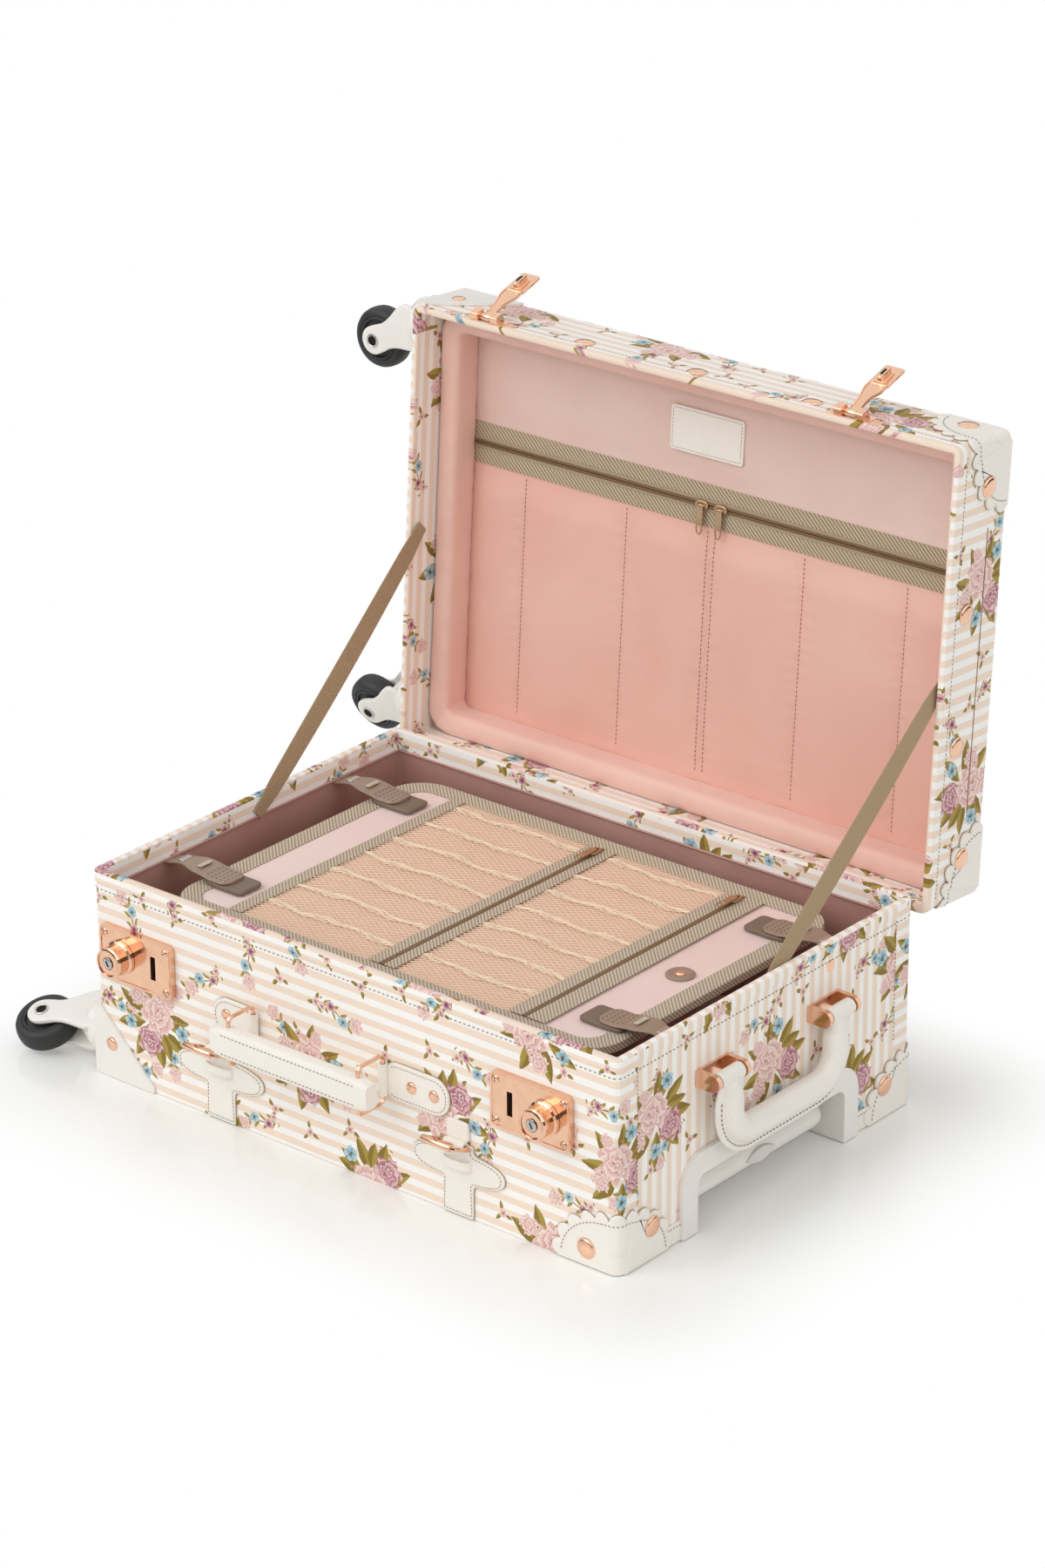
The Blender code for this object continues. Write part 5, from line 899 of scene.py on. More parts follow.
def pocket_level(x, y):
    """Shut level of the pocket cloth: flat at the zip, padded channels below it with puckers at each seam."""
    channel = np.clip(np.searchsorted(POCKET_SEAMS, x, side="right") - 1, 0, len(POCKET_SEAMS) - 2)
    start, stop = POCKET_SEAMS[channel], POCKET_SEAMS[channel + 1]
    share = np.clip((x - start) / (stop - start), 0, 1)
    pad = np.sin(np.pi * share) ** 0.55
    below = smooth(y, BAND_FOOT, -0.020)
    fade = 1 - 0.55 * smooth(np.abs(y), 0.125, POCKET_SIDE)
    seam = np.minimum(x - start, stop - x)
    pucker = np.sin(y / 0.0019 + 2.2 * np.sin(y / 0.013 + 9 * channel))
    pucker = pucker * np.exp(-np.abs(seam - 0.004) / 0.006) * (seam > 0.3 * MM)
    slack = np.sin(y / 0.027 + 3 * np.sin(x / 0.045)) * np.sin(np.pi * share)
    lower = pad * (4.2 * MM + 0.4 * MM * slack) * fade + 0.22 * MM * pucker
    above = smooth(y, BAND_TOP, -0.095)
    upper = 2.2 * MM * np.sin(np.pi * np.clip((y + POCKET_SIDE) / 0.0765, 0, 1))
    upper = upper + 0.5 * MM * np.sin(x / 0.034)
    return POCKET_LEVEL - below * lower - above * upper


def pocket():
    """Pocket cloth: a grid over the lid panel, denser near each seam, at the pocket's level."""
    fine = np.concatenate([np.linspace(a, b, 29)[:-1] for a, b in zip(POCKET_SEAMS[:-1], POCKET_SEAMS[1:])])
    x = np.concatenate((fine, POCKET_SEAMS[-1:]))[None]
    y = np.linspace(-POCKET_SIDE, POCKET_SIDE, 191)[:, None]
    x, y = np.broadcast_arrays(x, y)
    return np.stack((x, y, pocket_level(x, y)), -1)


pocket_grid = pocket()
split = int(np.searchsorted(pocket_grid[:, 0, 1], LID_ZIP))
lower_pocket = piece("lid_pocket_cloth", lifted(shaped(pocket_grid[split:])), pink_satin, "lid",
                     ("lid_pocket_panel",), sheet=True)
upper_pocket = piece("lid_upper_cloth", lifted(shaped(pocket_grid[:split + 1])), mauve_satin, "lid",
                     ("lid_pocket_panel",), sheet=True)


def lid_strip(low, high):
    """Flat tape across the lid between two depths."""
    place = (0, (low + high) / 2, STRIP_LEVEL)
    return slab(STRIP_HALF_MM, (high - low) / 2 / MM, 0.5, 0.6, 0.2, place, FACING_IN)


bands = joined(lid_strip(BAND_TOP, -0.0693), lid_strip(-0.0587, BAND_FOOT))
piece("lid_zip_bands", lifted(bands), tape_long, "lid")
tapes = joined(lid_strip(-0.0692, -0.0664), lid_strip(-0.0616, -0.0588))
piece("lid_zip_tapes", lifted(tapes), plain_tape, "lid")
lid_coils = []
for depth in (LID_ZIP - 1.25 * MM, LID_ZIP + 1.25 * MM):
    ends = (-LID_COIL_END, depth, LID_COIL_LEVEL), (LID_COIL_END, depth, LID_COIL_LEVEL)
    lid_coils.append(coil(*ends, (0, 1, 0), (0, 0, -1), 1.15 * MM, 1.4 * MM, 1.5 * MM))
piece("lid_zip_teeth", lifted(joined(*lid_coils)), brown_coil, "lid")
lid_up, lid_down = opened((0, 0, -1)) - opened((0, 0, 0)), opened((0, 1, 0)) - opened((0, 0, 0))
for label, side in (("left", -1), ("right", 1)):
    seat = opened((side * 9 * MM, LID_ZIP, LID_SLIDER_LEVEL))
    zip_slider(f"lid_zip_pull_{label}", seat, (1, 0, 0), lid_down, lid_up, f"lid_zip_slider_{label}")

seam_rows = []
for seam_x in (-0.182, -0.082, -0.0035, 0.0035, 0.0875, 0.182):
    y = np.linspace(-0.044, 0.150, 60)
    x = np.full_like(y, seam_x)
    path = np.stack((x, y, pocket_level(x, y) - 0.3 * MM), -1)
    seam_rows.append(stitches(path, (0, 0, -1), 3.6, 2.3, 0.38))
piece("lid_pocket_stitching", lifted(joined(*seam_rows)), rose_thread, "lid")

label_x, label_y = -0.007, -0.1195
label_level = float(pocket_level(np.array(label_x), np.array(label_y))) - 0.6 * MM
label_shape = plate(rounded_loop(0.0345, 0.0175, 2.5 * MM, 12, 5)[0], 1.2 * MM, 0.4 * MM)
label_shape = copies(label_shape, (label_x, label_y, label_level), FACING_IN)
piece("lid_blank_label", lifted(label_shape), leather, "lid")
label_row = rounded_loop(0.0325, 0.0155, 2 * MM, 12, 5)[0] + (label_x, label_y)
label_row = np.concatenate((label_row, label_row[:1]))
label_row = np.concatenate((label_row, np.full((len(label_row), 1), label_level - 1.25 * MM)), -1)
label_row = stitches(label_row, (0, 0, -1), 2.6, 1.8, 0.3)
piece("lid_label_stitching", lifted(label_row), pale_thread, "lid")

ROLL_HALF = (LID_END - LID_WALL - 8.9 * MM, LID_SIDE - LID_WALL - 8.9 * MM)
ROLL_LOW, ROLL_HIGH = 0.1705, 0.2043


def roll():
    """Padded roll round the lid's inside: a superellipse section carried round a rounded rectangle."""
    loop = rounded_loop(*ROLL_HALF, 0.012, 60, 10)
    half = (ROLL_HIGH - ROLL_LOW) / 2
    section = oval(8.3 * MM, half - 0.4 * MM, 6.0, 32) + (0, ROLL_LOW + half)
    return hoop(loop, section)


def inflated(made, cap):
    """Cloth under pressure: voxel remesh, 20 frames of swelling, and no point moved further than cap."""
    scene = bpy.context.scene
    bpy.context.view_layer.objects.active = made
    remesh = made.modifiers.new("even", "REMESH")
    remesh.mode, remesh.voxel_size = "VOXEL", 3.6 * MM
    bpy.ops.object.modifier_apply(modifier=remesh.name)
    count = len(made.data.vertices)
    before = np.zeros(count * 3)
    made.data.vertices.foreach_get("co", before)
    cloth = made.modifiers.new("swell", "CLOTH")
    cloth.settings.use_pressure = True
    cloth.settings.uniform_pressure_force = 4.0
    cloth.settings.effector_weights.gravity = 0.0
    cloth.point_cache.frame_start, cloth.point_cache.frame_end = 1, 20
    for step in range(1, 21):
        scene.frame_set(step)
    view = made.evaluated_get(bpy.context.evaluated_depsgraph_get())
    after = np.zeros(count * 3)
    view.data.vertices.foreach_get("co", after)
    made.modifiers.remove(cloth)
    scene.frame_set(1)
    move = (after - before).reshape(-1, 3)
    length = np.linalg.norm(move, axis=1, keepdims=True)
    move *= np.minimum(1, cap / np.maximum(length, 1e-9))
    return before.reshape(-1, 3) + move


padded = piece("lid_padded_edge", roll(), lit_pink_satin, "lid", ("lid_padded_roll",))
roll_points = inflated(padded, 1.6 * MM)
wall_x, wall_y = LID_END - LID_WALL - 0.4 * MM, LID_SIDE - LID_WALL - 0.4 * MM
into_x, into_y = wall_x - np.abs(roll_points[:, 0]), wall_y - np.abs(roll_points[:, 1])
run = np.where(np.abs(into_x) < np.abs(into_y), roll_points[:, 1], roll_points[:, 0])
pucker = 0.45 * MM * np.sin(run / 0.0034 + 2 * np.sin(run / 0.029))
roll_points[:, 2] += pucker * smooth(np.minimum(into_x, into_y), 0.006, 0.016)
mitre = np.exp(-((into_x - into_y) / (2.2 * MM)) ** 2) * (np.maximum(into_x, into_y) < 0.024)
roll_points[:, 2] += 1.3 * MM * mitre * (roll_points[:, 2] < 0.185)
reach_low, reach_high = (-wall_x, -wall_y, 0.1695), (wall_x, wall_y, LID_TOP - LID_WALL - 0.4 * MM)
roll_points = np.clip(roll_points, reach_low, reach_high)
padded.data.vertices.foreach_set("co", opened(roll_points).astype(np.float32).ravel())
padded.data.update()
padded.data.shade_smooth()
padded.data.set_sharp_from_angle(angle=math.radians(180))
rounder = padded.modifiers.new("round", "SUBSURF")
rounder.levels = rounder.render_levels = 1


# Leather: guards, belts, tabs and handles. It lies on the cloth's outer face.

CLOTH, FRONT_LEATHER, SEW_INSET = 0.35 * MM, 2.0 * MM, 2.6 * MM
BELT_LEVEL, KEEPER_LEVEL = 0.040, 0.0430


def hide(outline, centre, thickness, edge=0.7 * MM, groove=0.0, rings=16):
    """Leather patch (across, up, height): rings of the outline drawn in to a centre, with a rounded rim.

    The height rises over the rim, dips at the stitched groove and stays level inside.
    """
    centre = np.asarray(centre, float)
    spoke = np.asarray(outline, float) - centre
    reach = np.linalg.norm(spoke, axis=-1, keepdims=True)
    inset = np.array((0, -0.3 * edge, 0, 0.5 * edge, 1.4 * edge, 2.4 * MM, 3.2 * MM, 4.0 * MM))
    level = np.array((0, 0.4, 0.75, 0.94, 1.0, 1 - groove, 1.0, 1.02)) * thickness
    rim = spoke * np.clip(1 - inset[:, None, None] / reach, 0, None)
    share = np.linspace(1, 0, rings)[1:, None, None]
    inside = rim[-1] * share
    flat = np.concatenate((np.zeros_like(rim[:1]), rim, inside)) + centre
    height = np.concatenate(([0], level, np.full(rings - 1, 1.02 * thickness)))
    height = np.broadcast_to(height[:, None, None], flat.shape[:2] + (1,))
    return shaped(np.concatenate((flat, height), -1), False, True)


def shade_layer(outline, centre):
    """Under layer of a leather patch: the outline let out by 0.6 mm, so that a tan rim of painted shade shows
    round its edge.
    """
    centre = np.asarray(centre, float)
    wide = outline + 0.6 * MM * unit(outline - centre)
    wide[:, 1] = np.maximum(wide[:, 1], 0.2 * MM)
    return hide(wide, centre, 0.8 * MM, 0.3 * MM)


def ray_box(angle, half_wide, low, high):
    """Distance from the middle to the sides of a box, along each angle."""
    cos, sin = np.cos(angle), np.sin(angle)
    upright = np.where(sin >= 0, high, low) / np.maximum(np.abs(sin), 1e-6)
    return np.minimum(half_wide / np.maximum(np.abs(cos), 1e-6), upright)


def ray_oval(angle, half_wide, half_high, power):
    """Distance from the middle to a superellipse, along each angle."""
    across, up = np.abs(np.cos(angle) / half_wide), np.abs(np.sin(angle) / half_high)
    return (across ** power + up ** power) ** (-1 / power)


def around(angle, reach, centre):
    """Outline at a distance from a centre along each angle."""
    return np.stack((reach * np.cos(angle), reach * np.sin(angle)), -1) + np.asarray(centre, float)


def on_front(points):
    """(across, up, height) laid on the tray's front wall."""
    x, z, h = np.moveaxis(points, -1, 0)
    return np.stack((x, -(BASE_SIDE + CLOTH + h), z), -1)


COVERS = {"base": (BASE_END, BASE_SIDE, 0.0, 1, np.asarray), "lid": (LID_END, LID_SIDE, LID_TOP, -1, opened)}


def on_corner(points, cover, back):
    """(along, up, height) bent round a cover's upright corner: along < 0 is the long wall, > 0 the end wall.

    back is -1 at the front corner and 1 at the rear one, and the lid's points are swung open.
    """
    end, side, level, upward, swing = COVERS[cover]
    along, rise, height = np.moveaxis(points, -1, 0)
    bend = SHELL_CORNER * np.pi / 4
    angle = np.pi / 4 * (1 + np.clip(along / bend, -1, 1))
    past = along - np.clip(along, -bend, bend)
    normal = np.stack((np.sin(angle), np.cos(angle)), -1)
    flat = np.array((end, side)) - SHELL_CORNER + (SHELL_CORNER + CLOTH + height)[..., None] * normal
    flat = flat + np.stack((np.minimum(past, 0), -np.maximum(past, 0)), -1)
    return swing(np.concatenate((flat * (1, back), (level + upward * rise)[..., None]), -1))


GUARD_REACH, GUARD_HEIGHT, GUARD_FOOT = 0.056, 0.046, 0.4 * MM
GUARD_THICK, FLAP_THICK = 1.6 * MM, 1.2 * MM
GUARD_MIDDLE, FLAP_MIDDLE = (0, 16 * MM), (30 * MM, 16 * MM)
guard_angle = np.linspace(0, np.pi, 265)
guard_arc = ray_oval(guard_angle, GUARD_REACH, GUARD_HEIGHT, 2.2)
guard_lobes = np.abs(np.sin(guard_angle * 11)) ** 0.75
guard_top = around(guard_angle, guard_arc - 5.0 * MM + 6.2 * MM * guard_lobes, (0, GUARD_FOOT))
guard_foot = np.stack((np.linspace(-1, 1, 60)[1:-1] * GUARD_REACH * 0.93, np.full(58, GUARD_FOOT)), -1)
guard_outline = np.concatenate((guard_top, guard_foot))


def fold_line(rise):
    """Where the second layer of a guard begins, along the wall at each height."""
    return 4 * MM + 0.21 * rise


flap_top = guard_top[:np.argmin(guard_top[:, 0] > fold_line(guard_top[:, 1]) + 0.3 * MM)]
flap_side = np.linspace(flap_top[-1, 1], GUARD_FOOT, 24)[1:]
flap_foot = guard_foot[guard_foot[:, 0] > fold_line(GUARD_FOOT) + 1 * MM]
guard_flap = np.concatenate((flap_top, np.stack((fold_line(flap_side), flap_side), -1), flap_foot))
guard_row = around(guard_angle[6:-6], guard_arc[6:-6] - 7.4 * MM, (0, GUARD_FOOT))
row_height = np.where(guard_row[:, 0] > fold_line(guard_row[:, 1]), GUARD_THICK + FLAP_THICK, GUARD_THICK)
guard_row = np.concatenate((guard_row, row_height[:, None] + 0.25 * MM), -1)
guard_rivets = np.array(((-25.5 * MM, 14.5 * MM, GUARD_THICK),
                         (33.5 * MM, 27.0 * MM, GUARD_THICK + FLAP_THICK)))
for cover, body in (("base", "tray"), ("lid", "lid")):
    rivets = []
    for name, back in (("front", -1), ("rear", 1)):
        node = f"{cover}_guard_{name}"
        shape, faces = hide(guard_outline, GUARD_MIDDLE, GUARD_THICK)
        flap, flap_faces = hide(guard_flap, FLAP_MIDDLE, FLAP_THICK, 0.5 * MM)
        flap[:, 2] += GUARD_THICK - 0.2 * MM
        layers = joined((on_corner(shape, cover, back), faces), (on_corner(flap, cover, back), flap_faces))
        piece(f"{node}_leather", layers, leather, body, (node,), crease=55)
        # The under layer's tan rim is painted shade round the guard.
        under, under_faces = shade_layer(guard_outline, GUARD_MIDDLE)
        under = on_corner(under, cover, back)
        piece(f"{node}_edge", (under, under_faces), edge_shade, body, crease=55)
        stitch_row_and_net_shade = on_corner(guard_row, cover, back)
        away = on_corner(guard_row + (0, 0, 1 * MM), cover, back) - stitch_row_and_net_shade
        spot, along = spaced(stitch_row_and_net_shade, 3.4 * MM, 1.2 * MM)
        share, run = np.linspace(0, 1, len(spot)), np.linspace(0, 1, len(away))
        out = np.stack([np.interp(share, run, away[:, k]) for k in range(3)], -1)
        row = copies(stitch(2.2, 0.4), spot, frame_of(out, along))
        piece(f"{node}_stitching", row, pale_thread, body)
        seat = on_corner(guard_rivets, cover, back)
        tip, upright = (on_corner(guard_rivets + step, cover, back) - seat
                        for step in ((0, 0, 1 * MM), (0, 1 * MM, 0)))
        rivets.append(copies(rivet(8.2, 2.0), seat, frame_of(tip, upright)))
    piece(f"{cover}_guard_rivets", joined(*rivets), copper, body)

front_stitches, front_rivets, front_edges = [], [], []


def front_patch(outline, middle):
    """Leather patch on the tray's front wall, with its under layer put to the other painted shade edges."""
    shape, faces = hide(outline, middle, FRONT_LEATHER, groove=0.08)
    under, under_faces = shade_layer(outline, middle)
    front_edges.append((on_front(under), under_faces))
    return on_front(shape), faces


def sew_front(row):
    """Puts stitches along a row on a front patch to the other front stitches."""
    row = on_front(np.concatenate((row, np.full((len(row), 1), FRONT_LEATHER + 0.15 * MM)), -1))
    front_stitches.append(stitches(row, (0, -1, 0), 2.9, 2.0, 0.32))


belt_angle = np.linspace(0, 2 * np.pi, 240, endpoint=False)
half_turn = np.linspace(0, np.pi, 22)
KEEPER_HALF, KEEPER_HIGH = 12.5, 4.3
for label, centre in BELTS:
    middle = (centre, BELT_LEVEL)
    wings = ray_oval(belt_angle, 0.0425, 0.0118, 2.5)
    stem = ray_box(belt_angle, 0.0135, 0.0394, 0.0185)
    reach = (wings ** 7 + stem ** 7) ** (1 / 7)
    patch = front_patch(around(belt_angle, reach, middle), middle)
    keeper_x = centre + KEEPER_HALF * MM * np.cos(half_turn)
    keeper_y = -0.1748 - KEEPER_HIGH * MM * np.sin(half_turn) ** 0.7
    keeper_path = np.stack((keeper_x, keeper_y, np.full(22, KEEPER_LEVEL)), -1)
    keeper_out = np.stack((np.cos(half_turn) / KEEPER_HALF, -np.sin(half_turn) / KEEPER_HIGH - 1e-4,
                           0 * half_turn), -1)
    keeper = sweep(keeper_path, oval(0.8 * MM, 3.6 * MM, 4, 16), unit(keeper_out), (0, 0, 1))
    pad = slab(9.8, 7.5, 3, 2.6, 0.8, (centre, -BASE_SIDE - 0.3 * MM, 0.0685), FACING_FRONT)
    patches = joined(patch, sleeve((centre, *BUCKLE_PIN), 0, 9, 4.0, 2.2), keeper, pad)
    node = f"belt_{label}"
    piece(f"{node}_leather", patches, leather, "tray", (node,), crease=55)
    row = around(belt_angle, reach - SEW_INSET, middle)
    sew_front(np.concatenate((row, row[:1])))

for label, low, high, fold, spots in (
    ("left", -0.129, -0.0855, -0.087, ((-0.1155, 0.090, 1.9 * MM),)),
    ("right", 0.0362, 0.098, 0.038, ((0.0635, TAB_LEVEL, 1.9 * MM), (0.0845, TAB_LEVEL, 1.9 * MM))),
):
    half, middle = (high - low) / 2, ((high + low) / 2, TAB_LEVEL)
    patch = front_patch(rounded_loop(half, 0.0148, 0.0138, 14, 14)[0] + middle, middle)
    patches = joined(patch, sleeve((fold, -0.1764, TAB_LEVEL), 2, 12.5, 3.5, 2.0))
    node = f"handle_tab_{label}"
    piece(f"{node}_leather", patches, leather, "tray", (node,), crease=55)
    row = rounded_loop(half - SEW_INSET, 0.0122, 0.0112, 14, 14)[0] + middle
    row = row[(row[:, 0] < fold - 6 * MM) if label == "left" else (row[:, 0] > fold + 6 * MM)]
    # The row starts after its widest gap, which is the fold.
    start = int(np.argmax(np.linalg.norm(np.diff(row, axis=0), axis=1))) + 1
    sew_front(np.roll(row, -start, 0) if np.linalg.norm(row[start] - row[start - 1]) > 8 * MM else row)
    front_rivets.append(copies(rivet(4.9, 1.6), on_front(np.array(spots)), FACING_FRONT))
piece("front_leather_edges", joined(*front_edges), edge_shade, "tray", crease=55)
piece("front_leather_stitching", joined(*front_stitches), pale_thread, "tray")
piece("front_tab_rivets", joined(*front_rivets), copper, "tray")


GRIP_MIDDLE, GRIP_HALF, GRIP_OUT, GRIP_FACE = -0.0245, 0.0752, -0.2034, -0.2102


def front_grip():
    """Carry handle: a boxy superellipse along X, drawn in over its last 12 mm and bowed a little outward."""
    run = np.linspace(-1, 1, 61)
    share = np.clip((1 - np.abs(run)) / 0.16, 0, 1)
    size = 0.80 + 0.20 * np.sin(share * np.pi / 2)
    path = np.stack((GRIP_MIDDLE + GRIP_HALF * run, np.full(61, GRIP_OUT), np.full(61, TAB_LEVEL)), -1)
    section = oval(6.9 * MM, 11.9 * MM, 4.5, 36)[None] * np.stack((0.9 + 0.1 * share, size), -1)[:, None]
    return sweep(path, section, (0, 1, 0), (0, 0, 1))


grip = piece("front_handle_leather", front_grip(), leather, "front_handle",
             ("front_handle",))
grip_rows = [stitches(((-0.089, GRIP_FACE, level), (0.040, GRIP_FACE, level)), (0, -1, 0), 3.6, 2.4, 0.42)
             for level in (0.0955, 0.0805)]
piece("front_handle_stitching", joined(*grip_rows), pale_thread, "front_handle")

END_EYES, END_PIN, END_OUT = (-0.068, 0.062), 0.121, 0.265


def end_grip_path():
    """Middle line of the end handle: two upright legs and a level bar with round bends, from eye to eye."""
    (low, high), bend, level = END_EYES, 0.026, 0.068
    turn = np.linspace(0, np.pi / 2, 14)
    left = np.stack((low + bend - bend * np.cos(turn), level + bend - bend * np.sin(turn)), -1)
    right = np.stack((high - bend + bend * np.sin(turn), level + bend - bend * np.cos(turn)), -1)
    legs = np.linspace(END_PIN, level + bend, 10)[:-1]
    bar = np.linspace(low + bend, high - bend, 16)[1:-1]
    left_leg, right_leg = np.stack((np.full(9, low), legs), -1), np.stack((np.full(9, high), legs[::-1]), -1)
    return np.concatenate((left_leg, left, np.stack((bar, np.full(14, level)), -1), right, right_leg))


def end_grip():
    """End handle: a padded round inside edge and a thin stitched flange outside it, carried along the U."""
    line = end_grip_path()
    ahead = unit(np.gradient(line, axis=0))
    inward = np.stack((0 * line[:, 0], -ahead[:, 1], ahead[:, 0]), -1)
    path = np.stack((np.full(len(line), END_OUT), line[:, 0], line[:, 1]), -1)
    drop = smooth(0.1215 - line[:, 1], 0.0, 0.022)[:, None]
    angle = np.linspace(0, 2 * np.pi, 44, endpoint=False)
    across = np.where(np.cos(angle) > 0, 13.6, 13.9) * np.cos(angle) * MM
    swell = 8.8 * MM * np.sqrt(np.clip(1 - ((across - 3.2 * MM) / (10.6 * MM)) ** 2, 0, 1))
    thin = 1.9 * MM * np.abs(np.sin(angle)) ** 0.35
    thick = np.maximum(swell, thin)
    wide = across * (0.72 + 0.28 * drop)
    deep = np.sign(np.sin(angle)) * thick * (0.62 + 0.38 * drop)
    outer = path - inward * 9.8 * MM * (0.72 + 0.28 * drop)
    outer[:, 0] += 2.2 * MM
    return sweep(path, np.stack((wide, deep), -1), inward, (1, 0, 0)), outer


end_shape, end_row = end_grip()
end_eyes = [sleeve((END_OUT, centre, END_PIN), 1, 12.8, 6.0, 2.6) for centre in END_EYES]
made = piece("end_handle_leather", joined(end_shape, *end_eyes), leather, "end_handle",
             ("end_handle",), crease=55)
end_row = stitches(end_row[6:-6], (1, 0, 0), 3.9, 2.5, 0.5)
piece("end_handle_stitching", end_row, brown_thread, "end_handle")

strips, strip_rows = [], []
for side in (-1, 1):
    place = (BASE_END + 0.2 * MM, side * 0.1155, 0.0082)
    strips.append(slab(14.5, 7.8, 2, 1.3, 0.4, place, frame_of((1, 0, 0), (0, 1, 0))))
    ends = [(BASE_END + 1.7 * MM, side * y, 0.0132) for y in (0.1035, 0.1275)]
    strip_rows.append(stitches(ends, (1, 0, 0), 3.4, 2.2, 0.4))
piece("end_strip_leather", joined(*strips), leather, "tray")
piece("end_strip_stitching", joined(*strip_rows), pale_thread, "tray")


# Hardware: locks, hasps, studs, buckles and casters.

def bar(start, stop, radius, steps):
    """Round bar from point to point with slightly rounded ends."""
    start, stop = np.asarray(start, float), np.asarray(stop, float)
    length = np.linalg.norm(stop - start)
    share = np.array((0, 0.25 * radius / length, 1 - 0.25 * radius / length, 1))
    size = np.array((0.8, 1, 1, 0.8))
    along = unit(stop - start)
    side = unit(np.cross(along, (0.31, 0.22, 0.92)))
    section = oval(radius, radius, steps=steps)[None] * size[:, None, None]
    return sweep(start + share[:, None] * (stop - start), section, side, np.cross(along, side))


screw_head = turned([(0, 0), (2.9, 0), (2.9, 0.4), (2.3, 0.95), (1.2, 1.2), (0, 1.25)], 18)
LOCK_HALF, LOCK_FACE, KNOB_FACE = (0.0344, 0.0199), -0.1779, -0.1921
trim, dark = [], []
for label, middle, knob_x in (("left", -0.204, -0.218), ("right", 0.175, 0.189)):
    loop, _ = rounded_loop(*LOCK_HALF, 3.6 * MM, 70, 8)
    count = len(loop)
    notch = 0.62 + 0.38 * np.abs(np.sin(np.arange(count) * np.pi / 2.0 + 0.4))
    path = np.stack((loop[:, 0] + middle, np.full(count, LOCK_FACE), loop[:, 1] + LOCK_LEVEL), -1)
    normal = unit(np.stack((loop[:, 0] / LOCK_HALF[0], 0 * loop[:, 0], loop[:, 1] / LOCK_HALF[1]), -1))
    beaded = oval(0.9 * MM, 0.75 * MM, steps=6)[None] * notch[:, None, None]
    trim.append(sweep(path, beaded, normal, (0, -1, 0), True))
    corners = [(middle + a * 0.0305, LOCK_FACE, LOCK_LEVEL + b * 0.0160) for a in (-1, 1) for b in (-1, 1)]
    trim.append(copies(screw_head, corners, FACING_FRONT))
    for index, corner in enumerate(corners):
        # Dark bars on the screw heads: painted shade in their slots.
        tilt = np.array((math.cos(index + 0.6), 0, math.sin(index + 0.6))) * 1.9 * MM
        screw_top = np.array(corner) - (0, 1.15 * MM, 0)
        dark.append(bar(screw_top - tilt, screw_top + tilt, 0.32 * MM, 6))
    # Dark plate where the hasp enters the lock: painted shade in the opening.
    dark.append(slab(2.1, 9.2, 0.4, 0.6, 0.15, (HASPS[label], -0.1732, LOCK_LEVEL), FACING_FRONT))
    knob, body = np.array((knob_x, KNOB_FACE, LOCK_LEVEL)), f"lock_knob_{label}"
    barrel = turned([(0, 0), (4.6, 0), (4.6, 0.7), (4.0, 1.1), (0, 1.2)], 28)
    barrel = copies(barrel, knob, FACING_FRONT)
    piece(f"lock_{label}_key_barrel", barrel, steel, body)
    # The keyway is a dark bar: painted shade in the key slot.
    low, high = (knob + np.array(step) * MM for step in ((1.2, -1.25, -2.2), (-1.2, -1.25, 2.2)))
    way = bar(high, low, 0.55 * MM, 8)
    piece(f"lock_{label}_keyway", way, black_steel_and_slot_shade, body)
    lip = turned([(10.6, 0), (11.4, 0.5), (10.4, 0.9), (9.6, 0.5)], 40, True)
    piece(f"lock_{label}_knob_lip", copies(lip, knob, FACING_FRONT), copper, body)
piece("lock_trim_and_screws", joined(*trim), copper, "tray")
piece("lock_painted_slot_shade", joined(*dark), black_steel_and_slot_shade, "tray")

